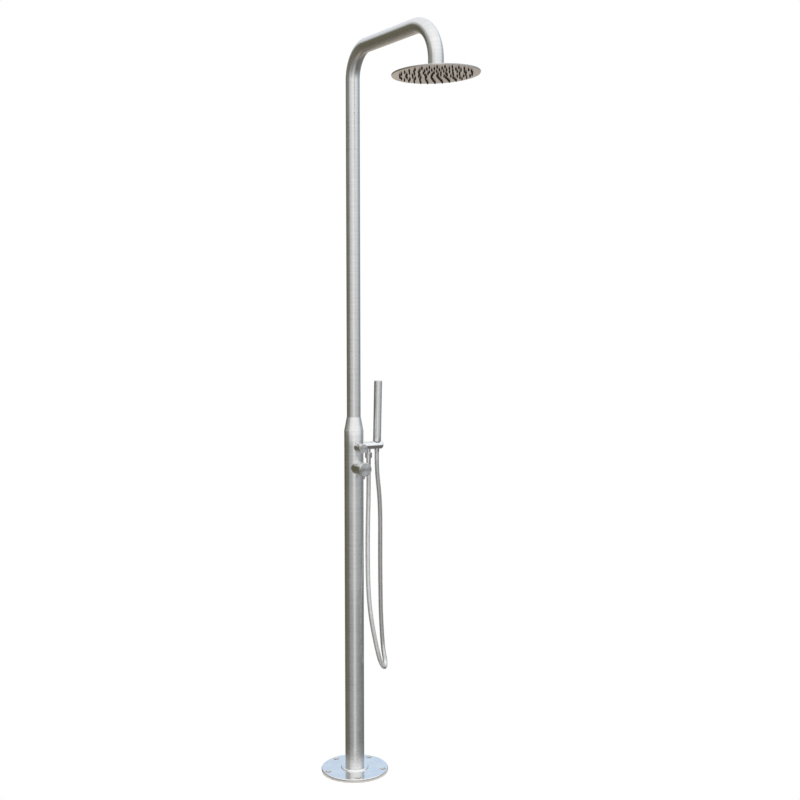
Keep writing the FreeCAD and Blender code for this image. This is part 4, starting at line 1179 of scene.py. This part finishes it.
@dataclass
class RainHead:
    """Flat rain head: back shell, face plate, nozzles and the ball joint behind it."""

    lean: float = math.radians(2.75)
    lean_azimuth: float = math.radians(28)
    ball_to_face: float = 0.0105
    face_thickness: float = 0.0012
    shell_wall: float = 0.0012
    lip: float = 0.0028
    lip_flare: float = 0.0009
    rim_width: float = 0.003
    shoulder_radius: float = 0.048
    rise: float = 0.0034
    hub_radius: float = 0.0115
    hub_foot: float = 0.014
    waterway: float = 0.0045
    hub_gap: float = 0.0002
    columns: int = 160
    ring_count: int = 6
    first_ring: float = 0.013
    ring_step: float = 0.017
    first_count: int = 5
    nozzle_turn: float = math.radians(66)
    nozzle_base: float = 0.0026
    nozzle_tip: float = 0.0017
    nozzle_length: float = 0.0055
    nozzle_foot: tuple[float, float] = (0.0001, 0.0006)
    nozzle_chamfer: tuple[float, float] = (0.0004, 0.0005)
    nozzle_mouth: tuple[float, float] = (0.4, 0.001)  # share of the tip's radius, and depth
    nozzle_sides: int = 10

    def seat(self) -> Seat:
        """Frame on the ball's centre, leaned as the head hangs."""
        ball = frame_joint("head_turn")["pos_m"]
        axis = Vector((-math.sin(self.lean_azimuth), math.cos(self.lean_azimuth), 0))
        return Seat(tuple(ball), Matrix.Rotation(-self.lean, 3, axis))

    def spots(self) -> Array:
        """Centres of the nozzles: evenly filled rings that all start at one angle.

        Ring k, from 0, has radius first + k step and (k + 1) times the first ring's count.

        Returns:
            Array of (x, y) places.
        """
        found = []
        for index in range(self.ring_count):
            radius = self.first_ring + self.ring_step * index
            count = self.first_count * (index + 1)
            turn = self.nozzle_turn + 2 * math.pi * np.arange(count) / count
            found.append(radius * np.stack([np.cos(turn), np.sin(turn)], axis=-1))
        return np.vstack(found)

    def nozzles(self, seat: Seat) -> bpy.types.Object:
        """All nozzles as one piece: one turned peg repeated at every spot.

        Args:
            seat: the head's frame.

        Returns:
            The new object.
        """
        floor = -self.ball_to_face
        base, tip, length = self.nozzle_base, self.nozzle_tip, self.nozzle_length
        end = floor - length
        outline = np.array([
            (0.0, floor), (base, floor),
            (base - self.nozzle_foot[0], floor - self.nozzle_foot[1]),
            (tip, end + self.nozzle_chamfer[1]), (tip - self.nozzle_chamfer[0], end),
            (tip * self.nozzle_mouth[0], end), (0.0, end + self.nozzle_mouth[1])])
        skins = []
        for x, y in self.spots():
            peg = turned_skin(outline, UPRIGHT, self.nozzle_sides)
            peg.points = seat.place(peg.points + np.array([x, y, 0.0]))
            skins.append(peg)
        return made_piece("nozzle_field", skins, NOZZLE_RUBBER)

    def build(self) -> None:
        """Turn the shell and the face, repeat the nozzles, and dress the ball joint."""
        seat = self.seat()
        radius = self.head_radius()
        floor = -self.ball_to_face
        low = floor + self.face_thickness
        top = low + self.shell_wall + self.rise
        brim = low + self.lip
        middle = low + self.rise / 2
        seam = radius - 0.7 * self.lip_flare
        shell = softened([
            (self.waterway, low + self.rise, 0), (self.shoulder_radius, middle, 0),
            (radius - self.rim_width, brim - self.shell_wall, 0),
            (radius - self.rim_width, low, 0), (seam, low, 0), (radius, brim, 0.0008),
            (self.shoulder_radius, middle + self.shell_wall, 0.006),
            (self.hub_foot, top, 0.002), (self.hub_radius, top, 0),
            (self.hub_radius, -self.hub_gap, 0), (self.waterway, -self.hub_gap, 0)], closed=True)
        skin = turned_skin(shell, seat, self.columns, closed=True)
        mounted(made_piece("head_shell", [skin], BRUSHED_HEAD), "head", "head_back_shell")
        edge = radius - self.lip_flare
        face = softened([(0.0, floor, 0), (edge, floor, 0.0004), (seam, low, 0),
                         (0.0, low, 0)], closed=False)
        plate = turned_skin(face, seat, self.columns)
        mounted(made_piece("head_face", [plate], BRUSHED_HEAD), "head", "head_face_plate")
        mounted(self.nozzles(seat), "head", "head_nozzles")
        mounted(smooth_copy("ball_nut", seat, POLISHED), "head")
        upright = Seat(seat.origin)
        mounted(smooth_copy("ball_nipple", upright, POLISHED), "post")
        kept("ball_seat_ring", SEAT)

    def head_radius(self) -> float:
        """Radius of the head, from its box and its lean.

        The half width along Y of a disc is its radius times
        sqrt(1 - (sin(lean) sin(azimuth))^2), and its thickness adds a little.
        """
        low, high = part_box("head_face_plate")
        slope = math.sin(self.lean) * math.sin(self.lean_azimuth)
        width = float(high.y - low.y) / 2
        return (width - self.face_thickness * slope / 2) / math.sqrt(1 - slope ** 2)


@dataclass
class ValveControl:
    """Housing, knob and lever pin of the mixer or of the diverter."""

    control: Control
    pin_turn: float
    pin_place: float

    def build(self) -> None:
        """Dress the housing, the knob and the pin about their own axes."""
        side, height = self.control.value, axis_height(self.control)
        seat = Seat((0.0, 0.0, height), FORWARD)
        mounted(smooth_copy(side + "_housing", seat, POLISHED), "post")
        mounted(smooth_copy(side + "_knob", seat, TURNED_KNOB), side)
        lean = Matrix.Rotation(self.pin_turn, 3, "X")
        pin = Seat((self.pin_place, 0.0, height), lean)
        mounted(smooth_copy(side + "_lever_pin", pin, POLISHED), side)


@dataclass
class HandsetBar:
    """Side bar and the hose outlet that hangs under it."""

    outlet_place: float = 0.052

    def build(self) -> None:
        """Dress the bar, the neck, the union nut and the ferrule."""
        height = axis_height(Control.DIVERTER)
        mounted(smooth_copy("holder_bar", Seat((0, 0, height), SIDEWAYS), POLISHED), "post")
        hang = Seat((0.0, self.outlet_place, height))
        for node in ("outlet_nipple", "hose_outlet_nut"):
            mounted(smooth_copy(node, hang, POLISHED), "post")
        kept("hose_outlet_ferrule", POLISHED)
        kept("hose_outlet_washer", SEAL_RUBBER)


@dataclass
class Handset:
    """Stick handset, standing in the bar by its cone nut."""

    lean: float = math.radians(1.3)
    cradle_place: float = 0.082

    def build(self) -> None:
        """Dress the nut, the tube, the spray plate and the cap on the leaning axis."""
        turn = Matrix.Rotation(-self.lean, 3, "X")
        seat = Seat((0.0, self.cradle_place, axis_height(Control.DIVERTER)), turn)
        for node, finish in (("hose_cone_nut", POLISHED), ("handset_tube", BRUSHED_HANDSET),
                             ("handset_spray_plate", BRUSHED_HANDSET),
                             ("handset_end_cap", BRUSHED_HANDSET)):
            mounted(smooth_copy(node, seat, finish), "handset")
        kept("hose_cone_ferrule", POLISHED)
        kept("handset_washer", SEAL_RUBBER)
        kept("handset_inlet", BRASS)


@dataclass
class HiddenWorks:
    """Valves, cartridges and pipes inside the column, which keep their CAD shapes."""

    finishes: tuple[tuple[Finish, tuple[str, ...]], ...] = (
        (BRASS, ("mixer_valve_body", "mixer_cartridge_nut", "mixer_stem",
                 "diverter_valve_body", "diverter_stem", "hot_inlet_coupling",
                 "cold_inlet_coupling")),
        (COPPER, ("hot_inlet_pipe", "cold_inlet_pipe", "mixed_water_pipe",
                  "riser_feed_pipe")),
        (CARTRIDGE, ("mixer_cartridge", "diverter_cartridge")),
        (BRUSHED_HEAD, ("riser_plug",)))

    def build(self) -> None:
        """Give each hidden node its finish."""
        for finish, nodes in self.finishes:
            for node in nodes:
                kept(node, finish)
            LOG.info("%s on %s", finish.name, ", ".join(nodes))


def axis_height(control: Control) -> float:
    """Height of a valve's axis, from the middle of its knob's box."""
    low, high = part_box(control.value + "_knob")
    return float(low.z + high.z) / 2


def frame_joint(name: str) -> dict[str, Any]:
    """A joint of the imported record.

    Args:
        name: its name.

    Returns:
        The joint's entry.
    """
    return next(joint for joint in frame["joints"] if joint["name"] == name)


def main() -> None:
    """Build the scene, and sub-assembly by sub-assembly."""
    logging.basicConfig(level=logging.INFO, format="%(name)s: %(message)s")
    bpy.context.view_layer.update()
    studio = Studio()
    studio.camera()
    ShowerHose().build()
    studio.build()
    FloorPlate().build()
    Column().build()
    RiserArm().build()
    RainHead().build()
    ValveControl(Control.MIXER, pin_turn=math.radians(180), pin_place=0.066).build()
    ValveControl(Control.DIVERTER, pin_turn=math.radians(48), pin_place=0.055).build()
    HandsetBar().build()
    Handset().build()
    HiddenWorks().build()


if __name__ == "__main__":
    main()
